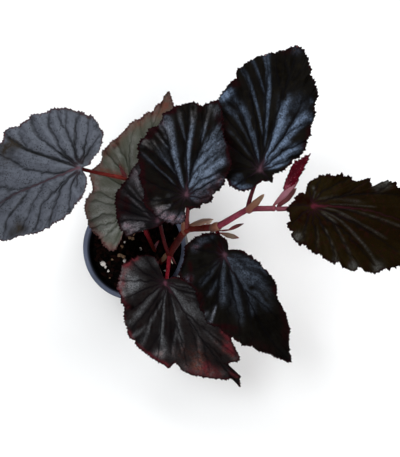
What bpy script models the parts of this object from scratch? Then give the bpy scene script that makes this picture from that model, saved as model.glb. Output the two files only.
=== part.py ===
"""A potted begonia: a nursery pot filled with soil, a leaning main stem that carries six leaves
and a thin side stem that carries two.

The frame is in metres with +Z up and its origin in the middle of the pot's base, on the floor.
The numbers below are millimetres and degrees, and MM turns them into metres.
"""

import math
import random

import bmesh
import bpy
from mathutils import Matrix, Vector, noise

MM = 0.001
GAP = 0.3

# Pot: a thin moulded shell with a flat lip and a flared collar that hangs from it.
RIM_TOP = 92.0
LIP_INNER = 48.3
LIP_OUTER = 52.8
LIP_THICK = 1.8
COLLAR_FOOT = 57.0
COLLAR_DEPTH = 15.0
WALL = 1.6
BASE_OUTER = 40.0
FLOOR_THICK = 3.0
POT_STEPS = 48
DRAIN_HOLES = 6
DRAIN_HOLE_RADIUS = 4.0
DRAIN_RING = 27.0

# Soil, with the white and tan grains that lie in its surface.
SOIL_TOP = 79.0
SOIL_BUMP = 1.8
SOIL_RINGS = (10.0, 20.0, 30.0, 39.0)
SOIL_STEPS = 32
GRAIN_PLACES = ((-36, -16, 3.4), (-18, -8, 3.0), (-13, -12, 2.4), (-15, 2, 2.6), (-6, 11, 2.6))
MORE_GRAINS = 15
GRAIN_SEED = 11

# Blades.
BLADE_THICK = 0.8
OUTLINE_POINTS = 72
BLADE_RINGS = (0.2, 0.45, 0.72, 1.0)
TOOTH = 1.1
TOOTHLESS_WITHIN = 12.0
FOLD_ROUNDING = 6.0
VEIN_BEARINGS = (-180, -152, -124, -96, -69, -43, -20, 0, 20, 43, 69, 96, 124, 152, 180)
PLEAT = 0.055
RUFFLE_WAVES = 11

# Stems: places of the nodes, with the stem's radius there.
STEM_FOOT = 64.0
MAIN_STEM = (
    (24.0, -16.0, STEM_FOOT, 3.6),
    (26.0, -15.0, 80.0, 3.5),
    (39.0, -7.0, 105.0, 3.3),
    (61.0, 17.0, 142.0, 3.2),
    (91.0, 14.0, 170.0, 2.9),
    (121.0, 28.0, 198.0, 2.4),
    (144.0, 27.0, 215.0, 2.0),
)
SIDE_STEM = (
    (20.0, -6.0, STEM_FOOT, 2.0),
    (19.0, -3.0, 80.0, 2.0),
    (17.0, 13.0, 112.0, 1.9),
    (13.5, 37.0, 136.0, 1.7),
    (8.0, 61.0, 152.0, 1.6),
)
STEM_SIDES = 10
PETIOLE_SIDES = 8
CORNER_CUT = 0.16
CAP_WELD = 0.01


def mm(*place):
    return Vector(place) * MM


def material(name, colour, roughness):
    made = bpy.data.materials.new(name)
    made.use_nodes = True
    shader = made.node_tree.nodes["Principled BSDF"]
    shader.inputs["Base Color"].default_value = (*colour, 1.0)
    shader.inputs["Roughness"].default_value = roughness
    shader.inputs["Metallic"].default_value = 0.0
    return made


def add_object(name, mesh, collection, finish=None):
    made = bpy.data.objects.new(name, mesh)
    if finish:
        mesh.materials.append(finish)
    collection.objects.link(made)
    return made


def solid_from(source, collection):
    """Replaces a curve, or an object with modifiers, by the plain mesh that it makes."""
    bpy.context.view_layer.update()
    graph = bpy.context.evaluated_depsgraph_get()
    mesh = bpy.data.meshes.new_from_object(source.evaluated_get(graph))
    if source.type == "CURVE":
        work = bmesh.new()
        work.from_mesh(mesh)
        bmesh.ops.remove_doubles(work, verts=work.verts, dist=CAP_WELD * MM)
        bmesh.ops.recalc_face_normals(work, faces=work.faces)
        work.to_mesh(mesh)
        work.free()
    name = source.name
    bpy.data.objects.remove(source)
    return add_object(name, mesh, collection)


def turned(name, profile, steps, collection):
    """A profile of (radius, height) turned round the Z axis."""
    mesh = bpy.data.meshes.new(name)
    points = [mm(radius, 0.0, height) for radius, height in profile]
    mesh.from_pydata(points, [(i, i + 1) for i in range(len(points) - 1)], [])
    made = add_object(name, mesh, collection)
    screw = made.modifiers.new("turn", "SCREW")
    screw.steps = steps
    screw.render_steps = steps
    screw.use_merge_vertices = True
    screw.merge_threshold = 0.00005
    return made


def combine(target, operation, others, collection, solver="EXACT"):
    """Joins the others to the target, or cuts them from it, and removes them."""
    group = bpy.data.collections.new("operands")
    for other in others:
        group.objects.link(other)
    change = target.modifiers.new(operation.lower(), "BOOLEAN")
    change.operation = operation
    change.operand_type = "COLLECTION"
    change.collection = group
    change.solver = solver
    made = solid_from(target, collection)
    for other in others:
        bpy.data.objects.remove(other)
    bpy.data.collections.remove(group)
    return made


def finished(source, finish, smooth_angle=40.0):
    source.data.materials.clear()
    source.data.materials.append(finish)
    source.data.shade_smooth()
    source.data.set_sharp_from_angle(angle=math.radians(smooth_angle))
    return source


def tube(name, points, radii, sides, collection):
    """A round tube through the points, with a radius at each."""
    curve = bpy.data.curves.new(name, "CURVE")
    curve.dimensions = "3D"
    curve.bevel_depth = MM
    curve.bevel_resolution = sides // 2 - 2
    curve.use_fill_caps = True
    spline = curve.splines.new("POLY")
    spline.points.add(len(points) - 1)
    for slot, place, radius in zip(spline.points, points, radii):
        slot.co = (*(place * MM), 1.0)
        slot.radius = radius
    made = bpy.data.objects.new(name, curve)
    collection.objects.link(made)
    return solid_from(made, collection)


def rounded_corners(route):
    """The route's points and radii, with each inner corner cut to two."""
    places = [Vector(step[:3]) for step in route]
    radii = [step[3] for step in route]
    points, widths = [places[0]], [radii[0]]
    for i in range(1, len(places) - 1):
        points.append(places[i].lerp(places[i - 1], CORNER_CUT))
        points.append(places[i].lerp(places[i + 1], CORNER_CUT))
        widths += [radii[i], radii[i]]
    return points + [places[-1]], widths + [radii[-1]]


def bezier(start, first, second, end, share):
    rest = 1.0 - share
    near = start * rest**3 + first * (3.0 * rest**2 * share)
    return near + second * (3.0 * rest * share**2) + end * share**3


def spindle(name, start, end, width, depth, collection, lift=0.0):
    """A pointed, slightly arched solid, as of a stipule or a closed bud."""
    work = bmesh.new()
    bmesh.ops.create_uvsphere(work, u_segments=6, v_segments=6, radius=1.0)
    start, end = Vector(start), Vector(end)
    along = end - start
    turn = along.to_track_quat("Z", "Y").to_matrix().to_4x4()
    for vertex in work.verts:
        share = (vertex.co.z + 1.0) / 2.0
        arch = lift * (share - share * share) * 4.0
        vertex.co = Vector(
            (vertex.co.x * width / 2.0, vertex.co.y * depth / 2.0 + arch, share * along.length)
        )
    bmesh.ops.transform(work, matrix=Matrix.Translation(start) @ turn, verts=work.verts)
    bmesh.ops.scale(work, vec=(MM, MM, MM), verts=work.verts)
    mesh = bpy.data.meshes.new(name)
    work.to_mesh(mesh)
    work.free()
    return add_object(name, mesh, collection)


class Leaf:
    """A blade over the plan: its petiole joins at the base, and its midrib runs along the heading.

    The outline lists the blade's reach from the base by bearing from the midrib, left positive.
    rise is the midrib's slope at the base, drop the tip's height over the base, left and right
    the slopes of the two halves across the midrib, and back that of the lobes behind the base.
    """

    def __init__(self, base, heading, drop, rise, left, right, back, outline, ruffle=1.2):
        self.base = Vector(base)
        self.heading = math.radians(heading)
        self.length = max(reach for _, reach in outline)
        self.drop = drop
        self.rise = rise
        self.left = left
        self.right = right
        self.back = back
        self.ruffle = ruffle
        self.corners = [self.polar(bearing, reach) for bearing, reach in outline]

    def polar(self, bearing, reach):
        angle = math.radians(bearing)
        return Vector((reach * math.cos(angle), reach * math.sin(angle)))

    def height(self, along, across):
        if along > 0.0:
            bend = (self.drop - self.rise * self.length) / self.length**2
            lift = self.rise * along + bend * along * along
        else:
            lift = -self.back * along
        side = self.left if across > 0.0 else self.right
        return lift + side * (math.hypot(across, FOLD_ROUNDING) - FOLD_ROUNDING)

    def pleat(self, bearing, reach, share):
        """How far the blade bulges up between two veins, which lie in the valleys."""
        degrees = math.degrees(bearing)
        for low, high in zip(VEIN_BEARINGS, VEIN_BEARINGS[1:]):
            if low <= degrees <= high:
                wave = math.sin(math.pi * (degrees - low) / (high - low))
                break
        return PLEAT * reach * wave * (1.0 - 0.45 * share)

    def curve_point(self, i, share):
        """A point of the closed smooth curve through the outline's corners."""
        count = len(self.corners)
        a, b, c, d = (self.corners[(i + k) % count] for k in (-1, 0, 1, 2))
        first = (c - a) * share
        second = (a * 2.0 - b * 5.0 + c * 4.0 - d) * share**2
        third = (b * 3.0 - a - c * 3.0 + d) * share**3
        return b + (first + second + third) * 0.5

    def outline(self, count):
        """Evenly spaced points round the edge, moved in and out as teeth."""
        fine = 12
        dense = [self.curve_point(i, k / fine) for i in range(len(self.corners)) for k in range(fine)]
        steps = [(dense[(i + 1) % len(dense)] - dense[i]).length for i in range(len(dense))]
        spacing = sum(steps) / count
        points, walked, wanted = [], 0.0, 0.0
        for i, step in enumerate(steps):
            while wanted < walked + step and len(points) < count:
                share = (wanted - walked) / step
                points.append(dense[i].lerp(dense[(i + 1) % len(dense)], share))
                wanted += spacing
            walked += step
        toothed = []
        for i, point in enumerate(points):
            ahead = points[(i + 1) % count] - points[i - 1]
            outward = Vector((ahead.y, -ahead.x)).normalized()
            size = TOOTH * min(1.0, point.length / TOOTHLESS_WITHIN - 0.5) if point.length > 6.0 else 0.0
            toothed.append(point + outward * (size if i % 2 else -0.4 * size))
        return toothed

    def place(self, point, share, turn):
        bearing = math.atan2(point.y, point.x)
        flat = point * share
        reach = flat.length
        lift = self.height(flat.x, flat.y) + self.pleat(bearing, reach, share)
        lift += self.ruffle * share**3 * math.sin(RUFFLE_WAVES * turn) * min(1.0, reach / 30.0)
        cosine, sine = math.cos(self.heading), math.sin(self.heading)
        return self.base + Vector(
            (flat.x * cosine - flat.y * sine, flat.x * sine + flat.y * cosine, lift)
        )

    def normal(self):
        slope = (self.rise - self.back) / 2.0
        up = Vector((-slope * math.cos(self.heading), -slope * math.sin(self.heading), 1.0))
        return up.normalized()

    def build(self, name, collection, count=OUTLINE_POINTS):
        edge = self.outline(count)
        points = [self.base]
        for share in BLADE_RINGS:
            for i, point in enumerate(edge):
                points.append(self.place(point, share, math.tau * i / count))
        faces = [(0, 1 + i, 1 + (i + 1) % count) for i in range(count)]
        for ring in range(len(BLADE_RINGS) - 1):
            inner, outer = 1 + ring * count, 1 + (ring + 1) * count
            for i in range(count):
                j = (i + 1) % count
                faces.append((inner + i, outer + i, outer + j))
                faces.append((inner + i, outer + j, inner + j))
        mesh = bpy.data.meshes.new(name)
        mesh.from_pydata([point * MM for point in points], [], faces)
        made = add_object(name, mesh, collection)
        shell = made.modifiers.new("thickness", "SOLIDIFY")
        shell.thickness = BLADE_THICK * MM
        shell.offset = 0.0
        return made

    def seat(self):
        """Where the petiole's end stops under the base, clear of the blade."""
        return self.base - self.normal() * (BLADE_THICK / 2.0 + GAP + 0.3)


LEAVES = {
    "leaf_1": Leaf(
        (-26.5, 66.5, 186), 197.5, -20, 0.05, -0.16, -0.10, -0.05,
        ((-172, 9), (-157, 23), (-142, 37), (-119, 47), (-95, 54), (-66, 66), (-42, 80), (-26, 93),
         (-10, 107), (0, 118), (10, 111), (22, 97), (31, 77), (43, 59), (62, 35), (84, 22), (115, 11),
         (158, 5)),
    ),
    "leaf_2": Leaf(
        (6.5, 47.5, 118), 66.5, 32, 0.10, -0.20, -0.05, 0.22,
        ((0, 102), (6, 88), (15, 75), (27, 66), (41, 59), (60, 55), (84, 50), (104, 44), (124, 49),
         (146, 50), (166, 54), (-177, 55), (-169, 38), (-164, 16), (-133, 14), (-110, 25), (-77, 30),
         (-50, 39), (-29, 55), (-15, 73), (-6, 90)),
    ),
    "leaf_3": Leaf(
        (39.5, 21, 165), 109.5, 7, 0.25, -0.34, -0.10, 0.05,
        ((0, 55), (8, 49), (20, 44), (34, 47), (50, 43), (66, 39), (82, 37), (94, 31), (104, 17),
         (130, 6), (-150, 5), (-110, 8), (-75, 12), (-51, 21), (-33, 33), (-16, 45)),
    ),
    "leaf_4": Leaf(
        (72, 39, 210), 86, 4, 0.25, 0.22, 0.34, 0.0,
        ((0, 75), (10, 71), (19, 66), (30, 59), (46, 54), (62, 44), (77, 37), (95, 34), (126, 31),
         (150, 28), (173, 19), (-160, 10), (-128, 14), (-108, 18), (-90, 22), (-74, 30), (-58, 40),
         (-46, 47), (-33, 52), (-24, 62), (-16, 77), (-8, 75)),
    ),
    "leaf_5": Leaf(
        (132, 56, 222), 74, -16, 0.12, -0.38, -0.16, 0.0,
        ((0, 108), (9, 99), (20, 95), (29, 84), (43, 71), (57, 58), (70, 47), (89, 36), (113, 28),
         (140, 25), (170, 18), (-164, 9), (-140, 8), (-118, 13), (-98, 12), (-80, 14), (-68, 22),
         (-50, 37), (-39, 48), (-29, 61), (-21, 76), (-12, 88), (-5, 102)),
    ),
    "leaf_6": Leaf(
        (172.5, 26.5, 232), -15, -36, -0.05, -0.06, -0.22, -0.02,
        ((0, 97), (9, 87), (20, 76), (29, 66), (36, 55), (43, 43), (58, 34), (76, 27), (98, 22),
         (120, 15), (148, 13), (172, 16), (-162, 18), (-134, 21), (-110, 28), (-88, 31), (-68, 38),
         (-50, 50), (-38, 62), (-26, 74), (-14, 85), (-6, 92)),
        ruffle=2.4,
    ),
    "leaf_7": Leaf(
        (100, -9, 176), -61, -58, -0.15, -0.12, -0.16, -0.06,
        ((0, 112), (6, 90), (14, 73), (25, 53), (38, 38), (54, 24), (80, 12), (120, 5), (146, 11),
         (168, 19), (-171, 23), (-154, 27), (-134, 30), (-103, 31), (-84, 35), (-66, 42), (-48, 56),
         (-30, 68), (-18, 82), (-7, 98)),
    ),
    "leaf_8": Leaf(
        (38, -34.5, 122), -57.5, -52, -0.10, -0.05, -0.22, 0.02,
        ((0, 124), (4, 103), (13, 85), (22, 69), (34, 52), (48, 31), (72, 22), (94, 15), (125, 5),
         (158, 9), (169, 22), (-178, 30), (-164, 37), (-142, 46), (-118, 49), (-96, 48), (-76, 58),
         (-55, 71), (-38, 82), (-29, 79), (-22, 90), (-12, 101), (-3, 109)),
    ),
}

# Which node each petiole leaves, its direction there, and how far below the blade it turns up.
PETIOLES = {
    "leaf_1": ((8.0, 61.0, 152.0), (-16.0, 2.0, 16.0), 10.0, 1.5),
    "leaf_2": ((18.5, 1.0, 88.0), (-4.0, 14.0, 8.0), 12.0, 1.6),
    "leaf_3": ((39.0, -7.0, 105.0), (-2.0, 6.0, 24.0), 16.0, 1.8),
    "leaf_4": ((61.0, 17.0, 142.0), (1.0, 6.0, 26.0), 22.0, 1.7),
    "leaf_5": ((121.0, 28.0, 198.0), (2.0, 12.0, 5.0), 10.0, 1.7),
    "leaf_6": ((144.0, 27.0, 215.0), (12.0, -0.5, 2.0), 10.0, 1.6),
    "leaf_7": ((91.0, 14.0, 170.0), (3.0, -10.0, -6.0), 8.0, 1.7),
    "leaf_8": ((39.0, -7.0, 105.0), (-1.0, -12.0, 2.0), 9.0, 2.0),
}
MAIN_PETIOLES = ("leaf_3", "leaf_4", "leaf_5", "leaf_6", "leaf_7", "leaf_8")
SIDE_PETIOLES = ("leaf_1", "leaf_2")

# Stipules and closed buds: start, end, width, depth and arch.
MAIN_STIPULES = (
    ((38, -8, 103), (42.5, -17, 104), 3.2, 1.4, 0.8),
    ((40, -8, 105), (45.5, -17.5, 105), 2.6, 1.4, 0.5),
    ((37, -7, 104), (30, -15, 100), 5.0, 1.6, 0.8),
    ((57, 13, 137), (62, 23, 148), 8.0, 6.2, 0.0),
    ((62, 18, 144), (91, 22, 179), 6.0, 1.6, 1.6),
    ((86, 14, 166), (95, 16.5, 174.5), 8.0, 7.4, 0.0),
    ((92, 13, 170), (111.5, 6.5, 167), 5.0, 1.6, 0.8),
    ((92, 13.5, 171), (116, 17.5, 180), 3.0, 2.4, 0.0),
    ((119, 27, 197), (134, 38.5, 214), 6.4, 2.6, 1.0),
    ((143, 26, 214), (163, 45, 225), 7.4, 4.4, 0.0),
)
SIDE_STIPULES = (
    ((8.0, 60.0, 151.5), (4.0, 71.5, 166.0), 4.0, 2.2, 0.6),
    ((19.0, -2.0, 82.0), (26.0, 7.0, 92.0), 4.0, 1.6, 0.6),
)
YOUNG_LEAF = Leaf(
    (151, 37, 221), 54.5, 15, 0.45, 0.9, 0.9, 0.3,
    ((0, 34), (9, 27), (15, 20), (24, 13), (48, 6), (110, 3), (180, 2.5), (-110, 3), (-48, 6),
     (-24, 13), (-15, 20), (-9, 27)),
    ruffle=0.0,
)
YOUNG_LEAF_POINTS = 28


def inner_radius(height):
    """The pot's inner wall, which opens evenly from the floor to the lip."""
    foot = BASE_OUTER - WALL
    return foot + (LIP_INNER - foot) * height / RIM_TOP


def build_pot(parts, cutters):
    under_lip = RIM_TOP - LIP_THICK
    collar_foot = RIM_TOP - COLLAR_DEPTH
    profile = (
        (0.0, FLOOR_THICK),
        (inner_radius(FLOOR_THICK), FLOOR_THICK),
        (inner_radius(RIM_TOP - COLLAR_DEPTH), RIM_TOP - COLLAR_DEPTH),
        (LIP_INNER, RIM_TOP - 0.8),
        (LIP_INNER + 0.8, RIM_TOP),
        (LIP_OUTER - 1.0, RIM_TOP),
        (LIP_OUTER, RIM_TOP - 1.0),
        (LIP_OUTER + 1.6, RIM_TOP - 5.0),
        (COLLAR_FOOT, collar_foot),
        (COLLAR_FOOT - WALL, collar_foot),
        (LIP_OUTER, RIM_TOP - 5.0),
        (LIP_OUTER - WALL, under_lip),
        (inner_radius(under_lip) + WALL, under_lip),
        (inner_radius(collar_foot) + WALL, collar_foot),
        (BASE_OUTER + 0.4, 2.0),
        (BASE_OUTER - 1.0, 0.0),
        (0.0, 0.0),
    )
    pot = turned("pot", profile, POT_STEPS, parts)
    holes = []
    for i in range(DRAIN_HOLES):
        angle = math.tau * i / DRAIN_HOLES
        work = bmesh.new()
        bmesh.ops.create_cone(
            work, cap_ends=True, segments=12, radius1=DRAIN_HOLE_RADIUS * MM,
            radius2=DRAIN_HOLE_RADIUS * MM, depth=4.0 * FLOOR_THICK * MM,
        )
        mesh = bpy.data.meshes.new("drain_hole")
        work.to_mesh(mesh)
        work.free()
        hole = add_object("drain_hole", mesh, cutters)
        hole.location = mm(DRAIN_RING * math.cos(angle), DRAIN_RING * math.sin(angle), 0.0)
        holes.append(hole)
    pot = combine(pot, "DIFFERENCE", holes, parts)
    return finished(pot, material("slate blue moulded plastic", (0.09, 0.11, 0.145), 0.45))


def soil_height(x, y):
    """The soil's surface: low mounds with small clods on them."""
    mound = noise.noise(Vector((x / 22.0, y / 22.0, 3.0)))
    clod = noise.noise(Vector((x / 7.0, y / 7.0, 8.0)))
    return SOIL_TOP + SOIL_BUMP * (mound + 0.8 * clod)


def build_soil(parts, cutters, hole_cutters):
    rim = inner_radius(SOIL_TOP) - GAP
    floor = FLOOR_THICK + GAP
    profile = [(0.0, SOIL_TOP)]
    profile += [(radius, SOIL_TOP) for radius in SOIL_RINGS]
    profile += [(rim - 0.5, SOIL_TOP), (inner_radius(floor) - GAP, floor), (0.0, floor)]
    body = solid_from(turned("soil", profile, SOIL_STEPS, parts), parts)
    for vertex in body.data.vertices:
        x, y, z = vertex.co / MM
        if z > floor + 1.0:
            vertex.co.z = soil_height(x, y) * MM
    draw = random.Random(GRAIN_SEED)
    places = list(GRAIN_PLACES)
    while len(places) < len(GRAIN_PLACES) + MORE_GRAINS:
        angle = draw.uniform(0.0, math.tau)
        radius = draw.uniform(8.0, rim - 6.0)
        places.append((radius * math.cos(angle), radius * math.sin(angle), draw.uniform(1.6, 2.8)))
    grains = []
    for x, y, size in places:
        work = bmesh.new()
        bmesh.ops.create_icosphere(work, subdivisions=1, radius=size * MM)
        turn = Matrix.Rotation(draw.uniform(0.0, math.pi), 3, draw.choice("XYZ"))
        bmesh.ops.rotate(work, matrix=turn, verts=work.verts)
        bmesh.ops.scale(work, vec=(1.0, draw.uniform(0.7, 1.0), 0.8), verts=work.verts)
        bmesh.ops.translate(work, vec=mm(x, y, soil_height(x, y) + 0.1 * size), verts=work.verts)
        mesh = bpy.data.meshes.new("grain")
        work.to_mesh(mesh)
        work.free()
        grains.append(add_object("grain", mesh, cutters))
    body = combine(body, "UNION", grains, parts)
    body = combine(body, "DIFFERENCE", hole_cutters, parts)
    return finished(body, material("dark potting soil", (0.012, 0.009, 0.007), 0.95), 30.0)


def petiole(name, collection):
    start, direction, approach, radius = PETIOLES[name]
    leaf = LEAVES[name]
    start, end = Vector(start), leaf.seat()
    first = start + Vector(direction)
    second = end - leaf.normal() * approach
    steps = 8
    points = [bezier(start, first, second, end, i / steps) for i in range(steps + 1)]
    radii = [radius * (1.1 - 0.25 * i / steps) for i in range(steps)] + [1.0]
    return tube(name + "_petiole", points, radii, PETIOLE_SIDES, collection)


def build_stem(name, route, petioles, stipules, extra, finish, parts, work_group):
    points, radii = rounded_corners(route)
    stem = tube(name, points, radii, STEM_SIDES, parts)
    others = [petiole(leaf, work_group) for leaf in petioles]
    for start, end, width, depth, lift in stipules:
        others.append(spindle("stipule", start, end, width, depth, work_group, lift))
    stem = combine(stem, "UNION", others + extra, parts, "MANIFOLD")
    return finished(stem, finish, 50.0)


def hole_cutter(name, route, collection):
    """The stem's foot, a gap wider and deeper, running up past the soil to the first node."""
    points, widths = rounded_corners(route[:3])
    points[0] = points[0] - (points[1] - points[0]).normalized() * GAP
    return tube(name, points, [width + GAP + 0.1 for width in widths], STEM_SIDES, collection)


def build_leaves(parts):
    finishes = {
        "leaf_1": (0.055, 0.06, 0.075),
        "leaf_2": (0.12, 0.13, 0.10),
        "leaf_6": (0.018, 0.012, 0.009),
    }
    for name, leaf in LEAVES.items():
        colour = finishes.get(name, (0.022, 0.024, 0.03))
        blade = leaf.build(name, parts)
        blade.data.materials.append(material(name + " blade", colour, 0.42))
        blade.data.shade_smooth()


def main():
    for old in list(bpy.data.objects):
        bpy.data.objects.remove(old)
    parts = bpy.data.collections.new("potted_begonia")
    cutters = bpy.data.collections.new("cutters")
    for collection in (parts, cutters):
        bpy.context.scene.collection.children.link(collection)
    red = material("crimson stem", (0.13, 0.02, 0.015), 0.4)
    build_pot(parts, cutters)
    holes = [hole_cutter("stem_hole", MAIN_STEM, cutters), hole_cutter("stem_hole", SIDE_STEM, cutters)]
    build_soil(parts, cutters, holes)
    young = solid_from(YOUNG_LEAF.build("young_leaf", cutters, YOUNG_LEAF_POINTS), cutters)
    build_stem("main_stem", MAIN_STEM, MAIN_PETIOLES, MAIN_STIPULES, [young], red, parts, cutters)
    build_stem("side_stem", SIDE_STEM, SIDE_PETIOLES, SIDE_STIPULES, [], red, parts, cutters)
    build_leaves(parts)


main()
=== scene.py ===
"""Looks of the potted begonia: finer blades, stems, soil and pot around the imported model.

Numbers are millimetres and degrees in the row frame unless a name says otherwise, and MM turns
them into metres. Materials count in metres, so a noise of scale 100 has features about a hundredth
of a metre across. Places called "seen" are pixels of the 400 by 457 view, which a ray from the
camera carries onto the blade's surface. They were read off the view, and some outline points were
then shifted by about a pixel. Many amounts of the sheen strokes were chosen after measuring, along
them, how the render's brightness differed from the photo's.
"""

import math
import random

import bmesh
import bpy
import numpy as np
from mathutils import Euler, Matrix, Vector, noise


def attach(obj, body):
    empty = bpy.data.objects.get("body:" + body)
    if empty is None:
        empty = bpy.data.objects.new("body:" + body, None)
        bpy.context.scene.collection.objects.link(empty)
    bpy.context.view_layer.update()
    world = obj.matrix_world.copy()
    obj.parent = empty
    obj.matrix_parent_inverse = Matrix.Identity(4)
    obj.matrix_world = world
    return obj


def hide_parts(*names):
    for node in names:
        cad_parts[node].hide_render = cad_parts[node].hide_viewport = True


MM = 0.001

# The camera: the middle and height of its view and its focal length in pixels, its place and turn.
SEEN_CENTRE = (200.0, 228.5)
SEEN_HEIGHT = 457.0
FOCAL = 650.0
CAMERA_PLACE = Vector((153.263, -18.805, 729.209))
CAMERA_TURN = Euler((math.radians(3.3), math.radians(7.7), 0.0))
SENSOR = 36.0

# Blades: the thickness just inside the rim, how softly the midrib folds, the points round a blade,
# the rings above and below, and how much deeper the lower face lies away from the rim.
BLADE_THICK = 0.5
FOLD_ROUNDING = 6.0
RAYS = 640
YOUNG_RAYS = 260
TOP_RINGS = 48
UNDER_RINGS = 20
UNDER_CLEAR = 0.8
# Teeth: how far apart the large ones are, how far the large and the fine ones stand out, and the
# shares of the way to the rim without them and with them.
TOOTH_PITCH = 3.2
TOOTH = 1.55
FINE_TOOTH = 0.65
SMOOTH_PART = 0.78
TOOTHED_PART = 0.22
# Veins: how deep their grooves are, how far from one the blade takes to swell, how near the base
# a main one starts, and the strength of a branch and of a faint one beside it.
GROOVE = 0.35
BULGE_SPREAD = 5.5
MAIN_START = 9.0
BRANCH = 0.75
FAINT = 0.35


def from_seen(px, py, z):
    """The point at height z, in millimetres, that shows at that pixel."""
    ray = Vector(((px - SEEN_CENTRE[0]) / FOCAL, (SEEN_CENTRE[1] - py) / FOCAL, -1.0))
    ray.rotate(CAMERA_TURN)
    return CAMERA_PLACE + ray * ((z - CAMERA_PLACE.z) / ray.z)


# Node materials.


class Shader:
    """A material's node tree, written as expressions."""

    def __init__(self, name, roughness):
        self.material = bpy.data.materials.new(name)
        self.material.use_nodes = True
        self.tree = self.material.node_tree
        self.body = self.tree.nodes["Principled BSDF"]
        self.set("Roughness", roughness)

    def set(self, socket, value):
        if isinstance(value, bpy.types.NodeSocket):
            self.tree.links.new(value, self.body.inputs[socket])
        else:
            self.body.inputs[socket].default_value = value

    def node(self, kind, **settings):
        made = self.tree.nodes.new(kind)
        for key, value in settings.items():
            setattr(made, key, value)
        return made

    def feed(self, node, socket, value):
        if isinstance(value, bpy.types.NodeSocket):
            self.tree.links.new(value, node.inputs[socket])
        else:
            node.inputs[socket].default_value = value

    def place(self):
        """A place on the piece, in metres."""
        return self.node("ShaderNodeTexCoord").outputs["Object"]

    def attribute(self, name):
        return self.node("ShaderNodeAttribute", attribute_name=name).outputs["Fac"]

    def vector(self, name):
        return self.node("ShaderNodeAttribute", attribute_name=name).outputs["Vector"]

    def noise(self, scale, detail=3.0, roughness=0.55, place=None):
        made = self.node("ShaderNodeTexNoise")
        self.feed(made, "Vector", place or self.place())
        for socket, value in (("Scale", scale), ("Detail", detail), ("Roughness", roughness)):
            self.feed(made, socket, value)
        return made.outputs["Fac"]

    def cells(self, scale, feature="F1"):
        made = self.node("ShaderNodeTexVoronoi", feature=feature)
        self.feed(made, "Vector", self.place())
        self.feed(made, "Scale", scale)
        return made.outputs["Distance"]

    def ramp(self, value, low, high, from_value=0.0, to_value=1.0):
        """A smooth step between two values, while the first one goes from low to high."""
        made = self.node("ShaderNodeMapRange", interpolation_type="SMOOTHSTEP")
        made.clamp = True
        for socket, given in (
            ("Value", value),
            ("From Min", low),
            ("From Max", high),
            ("To Min", from_value),
            ("To Max", to_value),
        ):
            self.feed(made, socket, given)
        return made.outputs["Result"]

    def math(self, operation, first, second):
        made = self.node("ShaderNodeMath", operation=operation)
        self.feed(made, 0, first)
        self.feed(made, 1, second)
        return made.outputs["Value"]

    def plus(self, first, second):
        return self.math("ADD", first, second)

    def times(self, first, second):
        return self.math("MULTIPLY", first, second)

    def lesser(self, first, second):
        return self.math("MINIMUM", first, second)

    def greater(self, first, second):
        return self.math("MAXIMUM", first, second)

    def rest(self, share):
        return self.math("SUBTRACT", 1.0, share)

    def mix(self, share, first, second, blend="MIX"):
        made = self.node("ShaderNodeMix", data_type="RGBA", blend_type=blend)
        self.feed(made, 0, share)
        self.feed(made, 6, (*first, 1.0) if isinstance(first, tuple) else first)
        self.feed(made, 7, (*second, 1.0) if isinstance(second, tuple) else second)
        return made.outputs[2]

    def gradient(self, value, stops):
        """A colour for the value, from (place, colour) stops in rising order."""
        made = self.node("ShaderNodeValToRGB")
        self.feed(made, "Fac", value)
        line = made.color_ramp.elements
        while len(line) < len(stops):
            line.new(0.5)
        for slot, (place, colour) in zip(line, stops):
            slot.position = place
            slot.color = (*colour, 1.0)
        return made.outputs["Color"]

    def bump(self, height, strength, distance, after=None):
        made = self.node("ShaderNodeBump")
        self.feed(made, "Height", height)
        self.feed(made, "Strength", strength)
        self.feed(made, "Distance", distance)
        if after is not None:
            self.feed(made, "Normal", after)
        return made.outputs["Normal"]


# Meshes.


def add_mesh(name, points, faces):
    """A smooth object in the scene, from points in millimetres."""
    mesh = bpy.data.meshes.new(name)
    mesh.from_pydata((np.asarray(points, float) * MM).tolist(), [], faces)
    made = bpy.data.objects.new(name, mesh)
    bpy.context.scene.collection.objects.link(made)
    mesh.shade_smooth()
    return made


def add_values(piece, name, values):
    layer = piece.data.attributes.new(name, "FLOAT", "POINT")
    layer.data.foreach_set("value", np.asarray(values, np.float32))


def add_vectors(piece, name, values):
    layer = piece.data.attributes.new(name, "FLOAT_VECTOR", "POINT")
    layer.data.foreach_set("vector", np.asarray(values, np.float32).ravel())


def fix_normals(piece):
    work = bmesh.new()
    work.from_mesh(piece.data)
    bmesh.ops.recalc_face_normals(work, faces=work.faces)
    work.to_mesh(piece.data)
    work.free()


def stand_for(piece, node):
    """Lets the piece ride on the root and take the place of that node of the model."""
    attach(piece, "root")
    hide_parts(node)
    return piece


# Blades.


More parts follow.
